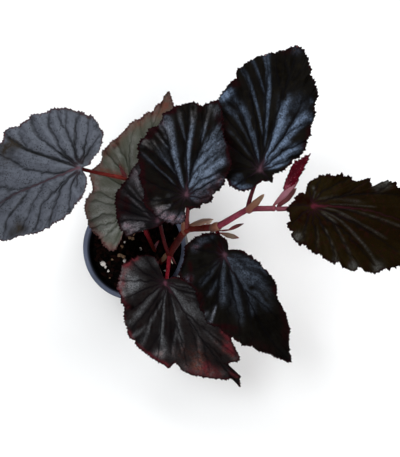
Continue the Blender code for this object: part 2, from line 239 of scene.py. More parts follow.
class Blade:
    """A blade over the plan: its petiole joins at the base, and its midrib runs along the heading.

    length is the midrib's and drop the tip's height over the base. rise is the midrib's slope at
    the base, left and right are the slopes of the two halves across it, and back is that of the
    lobes behind the base.
    """

    def __init__(self, base, heading, length, drop, rise, left, right, back):
        self.base = Vector(base)
        self.heading = math.radians(heading)
        self.bend = (drop - rise * length) / length**2
        self.rise = rise
        self.left = left
        self.right = right
        self.back = back

    def height(self, along, across):
        """How far over the base the folded, bent blade lies there."""
        ahead = self.rise * along + self.bend * along * along
        lift = np.where(along > 0.0, ahead, -self.back * along)
        side = np.where(across > 0.0, self.left, self.right)
        return lift + side * (np.hypot(across, FOLD_ROUNDING) - FOLD_ROUNDING)

    def plan(self, seen):
        """The along and across of the blade's point that shows at that pixel."""
        z = self.base.z
        cosine, sine = math.cos(self.heading), math.sin(self.heading)
        for _ in range(8):
            place = from_seen(*seen, z) - self.base
            along = place.x * cosine + place.y * sine
            across = place.y * cosine - place.x * sine
            z = self.base.z + float(self.height(along, across))
        return along, across

    def world(self, along, across, up):
        """Places in the frame from places in the blade's plan and heights over its base."""
        cosine, sine = math.cos(self.heading), math.sin(self.heading)
        x = self.base.x + along * cosine - across * sine
        y = self.base.y + along * sine + across * cosine
        return np.stack([x, y, self.base.z + up], -1)


def smooth_loop(corners, count):
    """Evenly spaced points round the closed smooth curve through the corners, and its length."""
    share = np.linspace(0.0, 1.0, 8, endpoint=False)[:, None]
    dense = []
    for i in range(len(corners)):
        a, b, c, d = (corners[(i + k) % len(corners)] for k in (-1, 0, 1, 2))
        second = (a * 2.0 - b * 5.0 + c * 4.0 - d) * share**2
        third = (b * 3.0 - a - c * 3.0 + d) * share**3
        dense.append(b + ((c - a) * share + second + third) * 0.5)
    dense = np.concatenate(dense)
    closed = np.vstack([dense, dense[:1]])
    walked = np.concatenate([[0.0], np.cumsum(np.hypot(*np.diff(closed, axis=0).T))])
    wanted = np.linspace(0.0, walked[-1], count, endpoint=False)
    points = np.stack([np.interp(wanted, walked, closed[:, k]) for k in (0, 1)], 1)
    return points, walked[-1]


def blurred(loop, width):
    """A closed loop of points with each moved to the mean of its neighbours."""
    kernel = np.hanning(width + 2)[1:-1]
    kernel /= kernel.sum()
    half = width // 2
    padded = np.concatenate([loop[-half:], loop, loop[:half]])
    return np.stack([np.convolve(padded[:, k], kernel, "valid")[: len(loop)] for k in (0, 1)], 1)


def outward_of(loop):
    """The direction out of a closed loop at each of its points."""
    ahead = np.roll(loop, -1, 0) - np.roll(loop, 1, 0)
    outward = np.stack([ahead[:, 1], -ahead[:, 0]], 1)
    return outward / np.maximum(np.hypot(*outward.T), 1e-9)[:, None]


def teeth(count, around, draw):
    """How far each edge point moves out: a saw of teeth with small ones on it."""
    large = round(around / TOOTH_PITCH)
    phase = np.linspace(0.0, large, count, endpoint=False)
    phase = phase + 0.35 * np.interp(phase, np.arange(large + 1), draw.uniform(-1, 1, large + 1))
    sizes = draw.uniform(0.3, 1.3, large + 2)
    share = phase % 1.0
    size = sizes[np.clip(phase.astype(int), 0, large + 1)]
    saw = np.where(share < 0.72, share / 0.72, (1.0 - share) / 0.28)
    fine = np.abs((phase * 3.0) % 1.0 - 0.5) * 2.0
    return (saw - 0.1) * TOOTH * size + (fine - 0.5) * FINE_TOOTH


def near_line(x, y, line):
    """Distance from each point to a polyline, and the share of the line's length there."""
    line = np.asarray(line, float)
    steps = np.hypot(*np.diff(line, axis=0).T)
    total = steps.sum()
    walked = np.concatenate([[0.0], np.cumsum(steps)])
    best = np.full(x.shape, 1e9)
    share = np.zeros(x.shape)
    for i, step in enumerate(steps):
        ax, ay = line[i]
        dx, dy = (line[i + 1] - line[i]) / step
        t = np.clip((x - ax) * dx + (y - ay) * dy, 0.0, step)
        gap = np.hypot(x - ax - t * dx, y - ay - t * dy)
        closer = gap < best
        best = np.where(closer, gap, best)
        share = np.where(closer, (walked[i] + t) / total, share)
    return best, share


def bell(distance, width):
    """One at no distance, falling softly to nothing over a few widths."""
    return np.exp(-((distance / width) ** 2))


def pixels_per_mm(blade):
    """The size of a millimetre at the blade's base, in pixels of the view."""
    return FOCAL / (CAMERA_PLACE.z - blade.base.z)


def patches(blade, layer, spots):
    """The sum of soft round spots, each (seen x, seen y, radius in pixels, amount)."""
    x, y = layer["x"], layer["y"]
    total = np.zeros(x.shape)
    for px, py, radius, amount in spots:
        along, across = blade.plan((px, py))
        gap = np.hypot(x - along, y - across) * pixels_per_mm(blade) / radius
        total += amount * np.exp(-gap * gap)
    return total


def strokes(blade, layer, lines):
    """The sum of soft bands along seen points.

    Each is (amount, half width at its start and at its end, or one for both, in pixels, points).
    """
    x, y = layer["x"], layer["y"]
    total = np.zeros(x.shape)
    for amount, *halves, points in lines:
        gap, share = near_line(x, y, [blade.plan(seen) for seen in points])
        half = (halves[0] + (halves[-1] - halves[0]) * share) / pixels_per_mm(blade)
        fade = np.clip(np.minimum(share, 1.0 - share) / 0.14 + 0.4, 0.0, 1.0)
        total += amount * fade * np.exp(-((gap / half) ** 2.4))
    return total


def wander(x, y, seed, size):
    """A smooth noise over the plan, about -1 to 1, from a few crossed waves."""
    draw = np.random.default_rng(seed)
    total = np.zeros(x.shape)
    for _ in range(9):
        turn, phase = draw.uniform(0.0, math.tau, 2)
        pitch = size * draw.uniform(0.6, 1.7)
        total += np.sin((x * math.cos(turn) + y * math.sin(turn)) * math.tau / pitch + phase)
    return total / 3.0


def blade_layer(blade, look, veins, faint, shares, base_edge, detail, reach, seed):
    """One side of a blade: plan places, heights, and the distances that its values come from."""
    rays = len(base_edge)
    share = shares[:, None]
    lean = np.clip((share - SMOOTH_PART) / TOOTHED_PART, 0.0, 1.0) ** 1.5
    x = base_edge[None, :, 0] * share + detail[None, :, 0] * lean
    y = base_edge[None, :, 1] * share + detail[None, :, 1] * lean
    x = np.concatenate([[0.0], x.ravel()])
    y = np.concatenate([[0.0], y.ravel()])
    share = np.concatenate([[0.0], np.repeat(shares, rays)])
    turn = np.concatenate([[0.0], np.tile(np.arange(rays) * math.tau / rays, len(shares))])
    far = np.hypot(x, y)
    gap = np.full(x.shape, 1e9)
    strength = np.zeros(x.shape)
    middle = np.full(x.shape, 1e9)
    stray_x = x + 0.5 * wander(x, y, seed, 7.0)
    stray_y = y + 0.5 * wander(x, y, seed + 50, 7.0)
    for i, line in enumerate(veins + faint):
        distance, along_line = near_line(stray_x, stray_y, line)
        own = (1.0 if math.hypot(*line[0]) < MAIN_START else BRANCH) * (1.0 - 0.5 * along_line)
        if i >= len(veins):
            own = own * FAINT
        closer = distance < gap
        gap = np.where(closer, distance, gap)
        strength = np.where(closer, own, strength)
        if i == 0:
            middle = distance
    rim = (1.0 - share) * np.concatenate([[10.0], np.tile(reach, len(shares))])
    up = blade.height(x, y)
    # The swelling, the ruffle and the wander all fade out towards the base.
    puff = look["bulge"] * np.minimum(1.0, far / 18.0) * (0.75 + 0.5 * strength)
    up = up + puff * (1.0 - np.exp(-gap / BULGE_SPREAD))
    up -= GROOVE * strength * bell(gap, 0.9)
    waves = np.sin(11 * turn) + 0.35 * np.sin(29 * turn + seed) + 0.12 * np.sin(53 * turn)
    up += look["ruffle"] * share**4 * waves * np.minimum(1.0, far / 30.0)
    up += 0.25 * wander(x, y, seed + 90, 22.0) * np.minimum(1.0, far / 12.0)
    return dict(x=x, y=y, up=up, gap=gap, strength=strength, middle=middle, far=far, rim=rim)


def ring_faces(start, rings, rays, flip):
    """Triangles round the point at start, and squares between the rings of points after it."""
    i = np.arange(rays)
    j = (i + 1) % rays
    fan = np.stack([np.full(rays, start), start + 1 + i, start + 1 + j], 1)
    inner = start + 1 + rays * np.arange(rings - 1)[:, None]
    quads = np.stack([inner + i, inner + rays + i, inner + rays + j, inner + j], -1).reshape(-1, 4)
    if flip:
        return fan[:, ::-1].tolist() + quads[:, ::-1].tolist()
    return fan.tolist() + quads.tolist()


def rosy(look, layer):
    """Red at the base of the blade and along the start of its midrib and veins."""
    line = bell(layer["gap"], 0.8) * layer["strength"] * np.exp(-layer["far"] / 4.0)
    rib = bell(layer["middle"], 0.7) * np.exp(-layer["far"] / look["rosy_rib"])
    return np.clip(0.5 * line + bell(layer["far"], 1.7) + 0.7 * rib, 0.0, 1.0)


def sheen(blade, look, layer):
    """Painted sheen: grey-blue colour on the lit ridges, standing in for reflected light, with pale patches
    of the blade's own colour; less of it in the creases of veins, and negative amounts are painted shade.
    """
    bright = patches(blade, layer, look["pale_and_sheen"]) + strokes(blade, layer, look["sheen"])
    crease = bell(layer["gap"], 1.1) * np.minimum(1.0, 1.6 * layer["strength"])
    return np.where(bright > 0.0, bright * (1.0 - 0.7 * crease), bright)


def fan_place(layer):
    """A place that runs round the base quickly and outward slowly, for streaks along the blade."""
    turn = np.arctan2(layer["y"], layer["x"])
    return np.stack([turn * 22.0, layer["far"] * 0.12, layer["far"] * 0.0], 1)


def add_blade_values(piece, blade, look, layers):
    """Gives the blade's points the values that its two materials read."""
    values = {
        "vein": lambda layer: bell(layer["gap"], 0.75) * layer["strength"],
        "crease": lambda layer: bell(layer["gap"], 1.3) * layer["strength"],
        "rosy": lambda layer: rosy(look, layer),
        "rim": lambda layer: layer["rim"],
        "pale_and_sheen": lambda layer: sheen(blade, look, layer),
        "stain": lambda layer: patches(blade, layer, look["stain"]) + strokes(blade, layer, look["crimson"]),
        "blush": lambda layer: patches(blade, layer, look["blush"]),
        "ash": lambda layer: patches(blade, layer, look["ash"]),
    }
    for name, value in values.items():
        add_values(piece, name, np.concatenate([value(layer) for layer in layers]))
    add_vectors(piece, "fan", np.concatenate([fan_place(layer) for layer in layers]))


def build_blade(name, node, blade, look, seed, rays=RAYS):
    """A blade of two faces that meet at a toothed rim, over the outline seen in the view."""
    draw = np.random.default_rng(seed)
    corners = np.array([blade.plan(seen) for seen in look["edge"]])
    ahead = np.roll(corners, -1, 0)
    if (corners[:, 0] * ahead[:, 1] - corners[:, 1] * ahead[:, 0]).sum() < 0.0:
        corners = corners[::-1]
    edge, around = smooth_loop(corners, rays)
    smooth = blurred(edge, 25)
    reach = np.hypot(*smooth.T)
    size = np.clip(reach / 12.0 - 0.5, 0.0, 1.0)
    detail = edge - smooth + outward_of(smooth) * (teeth(rays, around, draw) * size)[:, None]

    # The last rings lie closer together, so that the teeth keep their form.
    top_shares = np.concatenate([np.linspace(0.0, 0.93, TOP_RINGS - 6)[1:], np.linspace(0.94, 1, 7)])
    under_shares = np.concatenate([np.linspace(0.0, 0.9, UNDER_RINGS - 3)[1:], (0.94, 0.97, 1.0)])
    veins = [[blade.plan(seen) for seen in line] for line in look["veins"]]
    faint = [[blade.plan(seen) for seen in line] for line in look["faint_veins"]]
    top = blade_layer(blade, look, veins, faint, top_shares, smooth, detail, reach, seed)
    under = blade_layer(blade, look, veins, faint, under_shares, smooth, detail, reach, seed)
    top_thick = np.clip(top["rim"] / 2.0, 0.35, 1.0) * BLADE_THICK / 2
    under_thick = np.clip(under["rim"] / 2.0, 0.35, 1.0) * BLADE_THICK / 2
    under_thick += UNDER_CLEAR * np.clip(under["rim"] / 6.0 - 0.2, 0.0, 1.0)
    upper = blade.world(top["x"], top["y"], top["up"] + top_thick)
    lower = blade.world(under["x"], under["y"], under["up"] - under_thick)
    points = np.concatenate([upper, lower])

    over = ring_faces(0, len(top_shares), rays, False)
    below = ring_faces(len(upper), len(under_shares), rays, True)
    i = np.arange(rays)
    j = (i + 1) % rays
    top_edge = len(upper) - rays
    under_edge = len(points) - rays
    band = np.stack([top_edge + i, under_edge + i, under_edge + j, top_edge + j], 1).tolist()
    piece = add_mesh(name + "_blade", points, over + below + band)
    marks = [0] * len(over) + [1] * len(below) + [0] * len(band)
    piece.data.polygons.foreach_set("material_index", marks)
    add_blade_values(piece, blade, look, (top, under))
    piece.data.materials.append(blade_material(name, look))
    piece.data.materials.append(under_material(name, look))
    return stand_for(piece, node)


def sheen_and_shade_shares(shader, look, fine, mottle):
    """How much painted sheen and pale colour shows at each point, and how much painted shade darkens the
    blade instead.
    """
    off_vein = shader.rest(shader.times(shader.attribute("crease"), 0.7))
    pale_and_sheen = shader.plus(shader.attribute("pale_and_sheen"), shader.times(off_vein, look["pale_and_sheen_all"]))
    painted_shade = shader.times(shader.lesser(pale_and_sheen, 0.0), -2.2)
    grain = shader.plus(shader.times(fine, 0.45), shader.times(shader.noise(900.0, 2.0), 0.55))
    pale_and_sheen = shader.times(pale_and_sheen, shader.ramp(grain, 0.36, 0.64, *look["grain"]))
    pale_and_sheen = shader.times(pale_and_sheen, shader.ramp(mottle, 0.34, 0.60, 0.72, 1.12))
    streak = shader.noise(1.0, 4.0, 0.7, shader.vector("fan"))
    pale_and_sheen = shader.times(pale_and_sheen, shader.ramp(streak, 0.34, 0.64, look["streak"], 1.22))
    pale_and_sheen = shader.greater(shader.lesser(pale_and_sheen, 1.0), 0.0)
    spots = shader.ramp(shader.cells(560.0), 0.22, 0.42, 1.0, 0.0)
    spots = shader.times(spots, shader.ramp(shader.noise(120.0, 3.0), 0.40, 0.62))
    return shader.times(pale_and_sheen, shader.rest(shader.times(spots, 0.8))), painted_shade


def margin_share(shader, look, blush, painted_shade):
    """How much of the margin's red shows at each point; its width changes along the edge."""
    width = shader.ramp(shader.noise(70.0, 3.0), 0.3, 0.7, 0.35, 1.7)
    margin = shader.math("DIVIDE", shader.attribute("rim"), shader.times(width, look["margin"]))
    margin = shader.ramp(margin, 0.25, 1.0, look["margin_amount"], 0.0)
    plain = shader.greater(shader.lesser(blush, 0.8), shader.lesser(painted_shade, 0.8))
    return shader.times(margin, shader.rest(plain))


def blade_material(name, look):
    """The upper face: dark colours, then painted shade, painted sheen with pale patches, stain, margin, hem,
    veins partly darkened as painted shade, the red base, and painted glints on top.
    """
    shader = Shader(name + "_upper", roughness=0.42)
    mottle = shader.noise(190.0, 4.0, 0.7)
    fine = shader.noise(420.0, 3.0, 0.6)
    vein = shader.attribute("vein")
    pale_and_sheen, painted_shade = sheen_and_shade_shares(shader, look, fine, mottle)
    blush = shader.times(shader.attribute("blush"), shader.ramp(mottle, 0.40, 0.58, 0.35, 1.15))
    stain = shader.times(shader.attribute("stain"), shader.ramp(mottle, 0.36, 0.60, 0.40, 1.2))
    stain = shader.lesser(stain, 0.96)
    margin = margin_share(shader, look, blush, painted_shade)
    net = shader.cells(330.0, "DISTANCE_TO_EDGE")

    ash = shader.lesser(shader.attribute("ash"), 1.0)
    pale = shader.mix(ash, look["pale_and_sheen_colour"], look["ash_colour"])
    pale = shader.mix(shader.lesser(blush, 1.0), pale, look["blush_colour"])
    colour = shader.mix(shader.ramp(shader.noise(38.0, 4.0), 0.3, 0.7), look["dark"], look["dark_2"])
    colour = shader.mix(shader.ramp(mottle, 0.52, 0.66, 0.0, 0.6), colour, look["fleck"])
    # Painted shade where the sheen amount falls below zero.
    colour = shader.mix(shader.lesser(painted_shade, 0.9), colour, PAINTED_SHADE)
    # Painted sheen, with pale patches of the blade's own colour.
    colour = shader.mix(pale_and_sheen, colour, pale)
    colour = shader.mix(stain, colour, look["stain_colour"])
    colour = shader.mix(margin, colour, look["margin_colour"])
    hem = shader.times(shader.attribute("rim"), shader.ramp(mottle, 0.42, 0.60, 2.2, 0.5))
    hem = shader.ramp(hem, 0.5 * look["hem"], 1.7 * look["hem"], 0.85, 0.0)
    colour = shader.mix(hem, colour, look["hem_colour"])
    # Veins and their fine net, darkened partly as painted shade in their grooves.
    colour = shader.mix(shader.ramp(net, 0.0, 0.08, look["net"], 0.0), colour, look["vein_line_and_shade_colour"])
    colour = shader.mix(shader.times(vein, 0.85), colour, look["vein_line_and_shade_colour"])
    colour = shader.mix(shader.attribute("rosy"), colour, look["rosy_colour"])
    # Painted glints: pale specks in the colour that stand in for highlights.
    if "painted_glints" in look:
        glint_colour, amount = look["painted_glints"]
        painted_glints = shader.ramp(shader.cells(900.0), 0.10, 0.30, amount, 0.0)
        painted_glints = shader.times(painted_glints, shader.ramp(fine, 0.40, 0.60))
        colour = shader.mix(painted_glints, colour, glint_colour)
    shader.set("Base Color", colour)

    dull = shader.greater(vein, shader.greater(stain, margin))
    rough = shader.ramp(fine, 0.25, 0.75, 0.38, 0.52)
    shader.set("Roughness", shader.plus(rough, shader.times(dull, 0.35)))
    shader.set("Specular IOR Level", look["specular"])
    shader.set("Specular Tint", (*look["tint"], 1.0))
    bumped = shader.bump(shader.ramp(net, 0.0, 0.45), 0.12, 0.0004)
    shader.set("Normal", shader.bump(fine, 0.12, 0.0003, bumped))
    return shader.material


def under_material(name, look):
    """The lower face: red, with a net of paler veins that stand out."""
    shader = Shader(name + "_under", roughness=0.5)
    tone = shader.ramp(shader.noise(60.0, 4.0), 0.3, 0.7)
    colour = shader.mix(tone, look["under"], look["under_2"])
    net = shader.cells(330.0, "DISTANCE_TO_EDGE")
    vein = shader.attribute("vein")
    colour = shader.mix(shader.ramp(net, 0.0, 0.12, 0.5, 0.0), colour, look["under_vein"])
    colour = shader.mix(vein, colour, look["under_vein"])
    shader.set("Base Color", colour)
    height = shader.plus(vein, shader.ramp(net, 0.0, 0.2, 0.4, 0.0))
    shader.set("Normal", shader.bump(height, 0.6, 0.0008))
    return shader.material


BLADES = {
    "leaf_1": Blade((-26.5, 66.5, 186), 197.5, 118, -20, 0.05, -0.16, -0.10, -0.05),
    "leaf_2": Blade((6.5, 47.5, 118), 66.5, 102, 32, 0.10, -0.20, -0.05, 0.22),
    "leaf_3": Blade((39.5, 21, 165), 109.5, 55, 7, 0.25, -0.34, -0.10, 0.05),
    "leaf_4": Blade((72, 39, 210), 86, 77, 4, 0.25, 0.22, 0.34, 0.0),
    "leaf_5": Blade((132, 56, 222), 74, 108, -16, 0.12, -0.38, -0.16, 0.0),
    "leaf_6": Blade((172.5, 26.5, 232), -15, 97, -36, -0.05, -0.06, -0.22, -0.02),
    "leaf_7": Blade((100, -9, 176), -61, 112, -58, -0.15, -0.12, -0.16, -0.06),
    "leaf_8": Blade((38, -34.5, 122), -57.5, 124, -52, -0.10, -0.05, -0.22, 0.02),
}

# The colour of painted shade on the blades.
PAINTED_SHADE = (0.0005, 0.0003, 0.0003)

# A plain dark blade, which each look below changes. The edge and veins are lines of seen points, and
# the pale-and-sheen spots, blush, ash and stain are spots, as patches reads them; sheen is more of the
# first, and crimson more stain, in bands as strokes reads them. The pale-and-sheen amount is mostly
# painted sheen, grey-blue colour on the lit ridges standing in for reflected light, with some pale
# patches of the blade's own colour, and its negative amounts are painted shade. margin and hem are
# widths in millimetres, bulge and ruffle heights, and rosy_rib how far the red runs along the midrib.
# The all-over amount adds that colour everywhere, and grain and streak say how uneven it is. The vein
# colour darkens the veins, partly as painted shade in their grooves.
NIGHT = {
    "slot": "dark_leaf",
    "dark": (0.0022, 0.0017, 0.0012),
    "dark_2": (0.0048, 0.0040, 0.0030),
    "fleck": (0.0062, 0.0020, 0.0018),
    "pale_and_sheen_colour": (0.098, 0.124, 0.172),
    "pale_and_sheen_all": 0.0,
    "blush_colour": (0.150, 0.100, 0.120),
    "ash_colour": (0.112, 0.106, 0.106),
    "stain_colour": (0.0090, 0.0016, 0.0020),
    "margin_colour": (0.0120, 0.0022, 0.0030),
    "margin": 3.0,
    "margin_amount": 0.85,
    "hem_colour": (0.0050, 0.0012, 0.0016),
    "hem": 1.0,
    "vein_line_and_shade_colour": (0.002, 0.002, 0.003),
    "rosy_colour": (0.055, 0.026, 0.036),
    "rosy_rib": 7.0,
    "under": (0.05, 0.006, 0.009),
    "under_2": (0.09, 0.012, 0.016),
    "under_vein": (0.16, 0.03, 0.035),
    "grain": (0.50, 1.36),
    "streak": 0.66,
    "net": 0.34,
    "specular": 0.008,
    "tint": (0.78, 0.88, 1.0),
    "bulge": 3.2,
    "ruffle": 1.2,
    "faint_veins": (),
    "pale_and_sheen": (),
    "sheen": (),
    "blush": (),
    "ash": (),
    "stain": (),
    "crimson": (),
}

LOOKS = {}
LOOKS["leaf_1"] = {
    **NIGHT,
    "slot": "grey_leaf",
    "fleck": (0.03, 0.024, 0.024),
    "pale_and_sheen_colour": (0.062, 0.067, 0.083),
    # Painted sheen and pale colour all over the blade.
    "pale_and_sheen_all": 0.95,
    "stain_colour": (0.016, 0.011, 0.006),
    "margin_colour": (0.026, 0.008, 0.009),
    "margin": 1.5,
    "hem_colour": (0.03, 0.01, 0.013),
    "hem": 1.2,
    "rosy_colour": (0.074, 0.032, 0.042),
    "rosy_rib": 60.0,
    "grain": (0.8, 1.12),
    "streak": 0.86,
    "net": 0.12,
    "specular": 0.15,
    "edge": (
        (83, 167), (85.9, 166.5), (88.9, 165.5), (91.4, 164.5), (91.8, 160.8), (93.8, 158.8), (95.3, 155.8),
        (97.8, 153.8), (99.8, 150.8), (100.3, 147.8), (102.3, 141.8), (101.8, 138.8), (102.8, 135.3),
        (103.8, 132.8), (101.3, 129.8), (99.8, 126.8), (97.8, 122.8), (94.8, 119.3), (92.8, 116.8),
        (90.8, 115.8), (87.8, 115.8), (84.8, 114.3), (82.8, 112.3), (78, 112), (74, 111), (70, 109.5),
        (66, 109), (60, 109.3), (55, 109), (51, 109.2), (49, 111.5), (45, 113), (41, 114.5), (37, 115),
        (33, 116), (31, 117.5), (29, 120), (26, 122), (23, 124), (20, 127), (16, 127.3), (12, 128),
        (8, 130), (4, 133), (5.5, 136.5), (5, 140), (3.5, 143), (0, 146), (-5, 150), (-10, 154), (-14, 158),
        (-19, 166), (-22, 176), (-26, 185), (-28, 194), (-31, 203), (-32, 212), (-27, 218), (-22.9, 224.8),
        (-19.9, 228.8), (-13.9, 232.8), (-7.9, 236.8), (-2.9, 238.8), (0.1, 239.8), (4.1, 240.8),
        (8.1, 239.3), (11.1, 239.8), (13.1, 237.8), (16.1, 237.3), (20.1, 235.8), (25.1, 235.8),
        (30.1, 233.8), (35.1, 233.3), (38.1, 232.3), (42.1, 231.3), (44.1, 228.8), (48.1, 227.8),
        (51.1, 225.8), (54.1, 223.3), (58.1, 221.8), (61.1, 220.8), (64.7, 218.7), (66.2, 216.2),
        (68.7, 213.2), (71.2, 210.7), (72.2, 207.7), (74.7, 205.7), (77.7, 202.7), (80.7, 200.2),
        (82.7, 197.7), (85.1, 193), (85.6, 190), (87.1, 185), (87.4, 180), (86.1, 176), (84.1, 172.5),
        (81.5, 170),
    ),
    "veins": (
        ((78, 167.5), (66, 173), (50, 179), (40, 183), (28, 188.5), (20, 192), (10, 197), (0, 203),
         (-20, 208), (-53, 209)),
        ((77, 167), (65, 162), (50, 157), (38, 153), (27, 149), (18, 144), (5, 134)),
        ((28, 149), (22, 140), (19, 134)),
        ((76, 165), (68, 160), (58, 152), (48, 144), (40, 138), (35, 130), (31, 119)),
        ((77, 164), (70, 159), (62, 150), (58, 143), (55, 135), (50, 128), (48, 120), (50, 112)),
        ((78, 163), (75, 152), (72, 142), (67, 132), (62, 125), (57, 113)),
        ((66, 130), (66, 120), (67, 112)),
        ((79, 163), (76, 152), (75, 145), (76, 135), (76, 125), (79, 114)),
        ((80, 163), (84, 152), (86, 140), (88, 130), (88, 120)),
        ((81, 163), (88, 152), (94, 143), (99, 137)),
        ((72, 170), (58, 174), (50, 173), (38, 171), (24, 169), (14, 162), (2, 156), (-12, 152)),
        ((29, 188), (20, 189.5), (10, 189), (0, 187), (-18, 184), (-30, 178)),
        ((28, 190), (25, 197), (20, 204), (13, 212), (7, 220), (4, 232), (3, 238)),
        ((77, 171), (68, 178), (60, 186), (55, 192), (47, 199), (41, 206), (40, 213), (38, 222), (36, 229)),
        ((77, 172), (67, 181), (60, 190), (57, 200), (53, 210), (50, 220), (49, 227)),
        ((78, 173), (73, 182), (70, 192), (69, 203), (70, 209)), ((79, 172), (77, 181), (76, 188)),
        ((45, 181), (41, 190), (33, 203), (28, 216), (22, 229)), ((8, 198), (-4, 212), (-10, 228)),
        ((-15, 208), (-30, 220)),
    ),
    "pale_and_sheen": (
        (45, 158, 4, 0.33), (33, 225, 4, 0.28), (14, 150, 7, -0.6), (14, 165, 6, -0.35),
        (28, 188, 4, -0.25), (20, 222, 6, -0.45), (4, 235, 4, 0.26), (80, 161, 5, -0.3), (93, 150, 4, -0.3),
        (33, 120, 3, -0.33), (22, 200, 4, -0.3),
    ),
    "sheen": (
        (0.45, 3, ((58, 121), (61, 134))), (0.4, 2.2, 2, ((72, 123), (70, 138))),
        (0.45, 2, 1.8, ((47, 128), (52, 140), (57, 150))), (0.5, 1.8, ((66, 140), (67, 149))),
        (0.3, 2.8, 2.4, ((86, 127), (84, 141))), (0.5, 2, 1.8, ((96, 135), (93, 141))),
        (0.36, 1.8, ((38, 138), (50, 148))), (0.55, 3, 2.6, ((71, 180), (66, 196))),
        (0.25, 2.2, 2, ((60, 187), (48, 195))), (0.3, 1.8, ((56, 200), (50, 211))),
        (-0.24, 3, ((3, 182), (12, 196), (2, 208))), (-0.3, 2, 1.6, ((74, 160), (68, 157))),
        (0.25, 1.8, 1.6, ((45, 176), (55, 178))), (-0.45, 3, 2.4, ((98, 124), (99, 130))),
        (-0.85, 1, 1.6, ((75, 166.5), (66, 163.5), (54, 159.5), (40, 155), (26, 150))),
        (-0.8, 1.5, 2.2, ((28, 150.5), (18, 145.5), (7, 137))),
        (-0.7, 1, 1.2, ((75, 164), (67, 157.5), (60, 152))),
        (-0.45, 0.9, 1, ((77, 160), (74, 147), (74.5, 134), (76.5, 120))),
        (-0.45, 0.8, 1, ((58, 150), (54, 138), (49, 128), (48.5, 116))),
        (-0.45, 0.9, 1.2, ((40, 141), (34, 132), (31, 122))),
        (-0.4, 0.8, ((84, 158), (84.5, 148), (87, 136))),
        (-0.35, 0.8, 1, ((42, 204), (40, 213), (37, 227))),
        (-0.35, 0.8, 1, ((57, 196), (53, 206), (50, 222))), (-0.4, 1.4, 1.6, ((64, 209), (65, 215))),
        (-0.4, 1, ((24, 196), (14, 210), (7, 220), (4, 236))), (-0.3, 5, ((86, 154), (90, 160))),
        (0.3, 6, ((88, 124), (93, 140))), (0.25, 9, ((40, 176), (25, 178))),
        (0.25, 8, ((74, 186), (60, 206))), (-0.55, 4.5, ((10, 232), (22, 230), (32, 228))),
        (-0.45, 3, ((82, 166), (84, 176))), (-0.12, 9, ((4, 168), (14, 152))),
    ),
    "stain": ((6, 158, 7, 0.35), (20, 229, 6, 0.95), (12, 235, 4, 0.8), (88, 158, 5, 0.35)),
    "crimson": (
        (0.95, 6, 4, ((0, 151), (8, 147), (13, 143), (21, 147))),
        (0.7, 1.6, ((48, 109), (62, 109), (76, 112), (86, 116))), (0.9, 1.8, ((88, 117), (91, 119))),
    ),
}
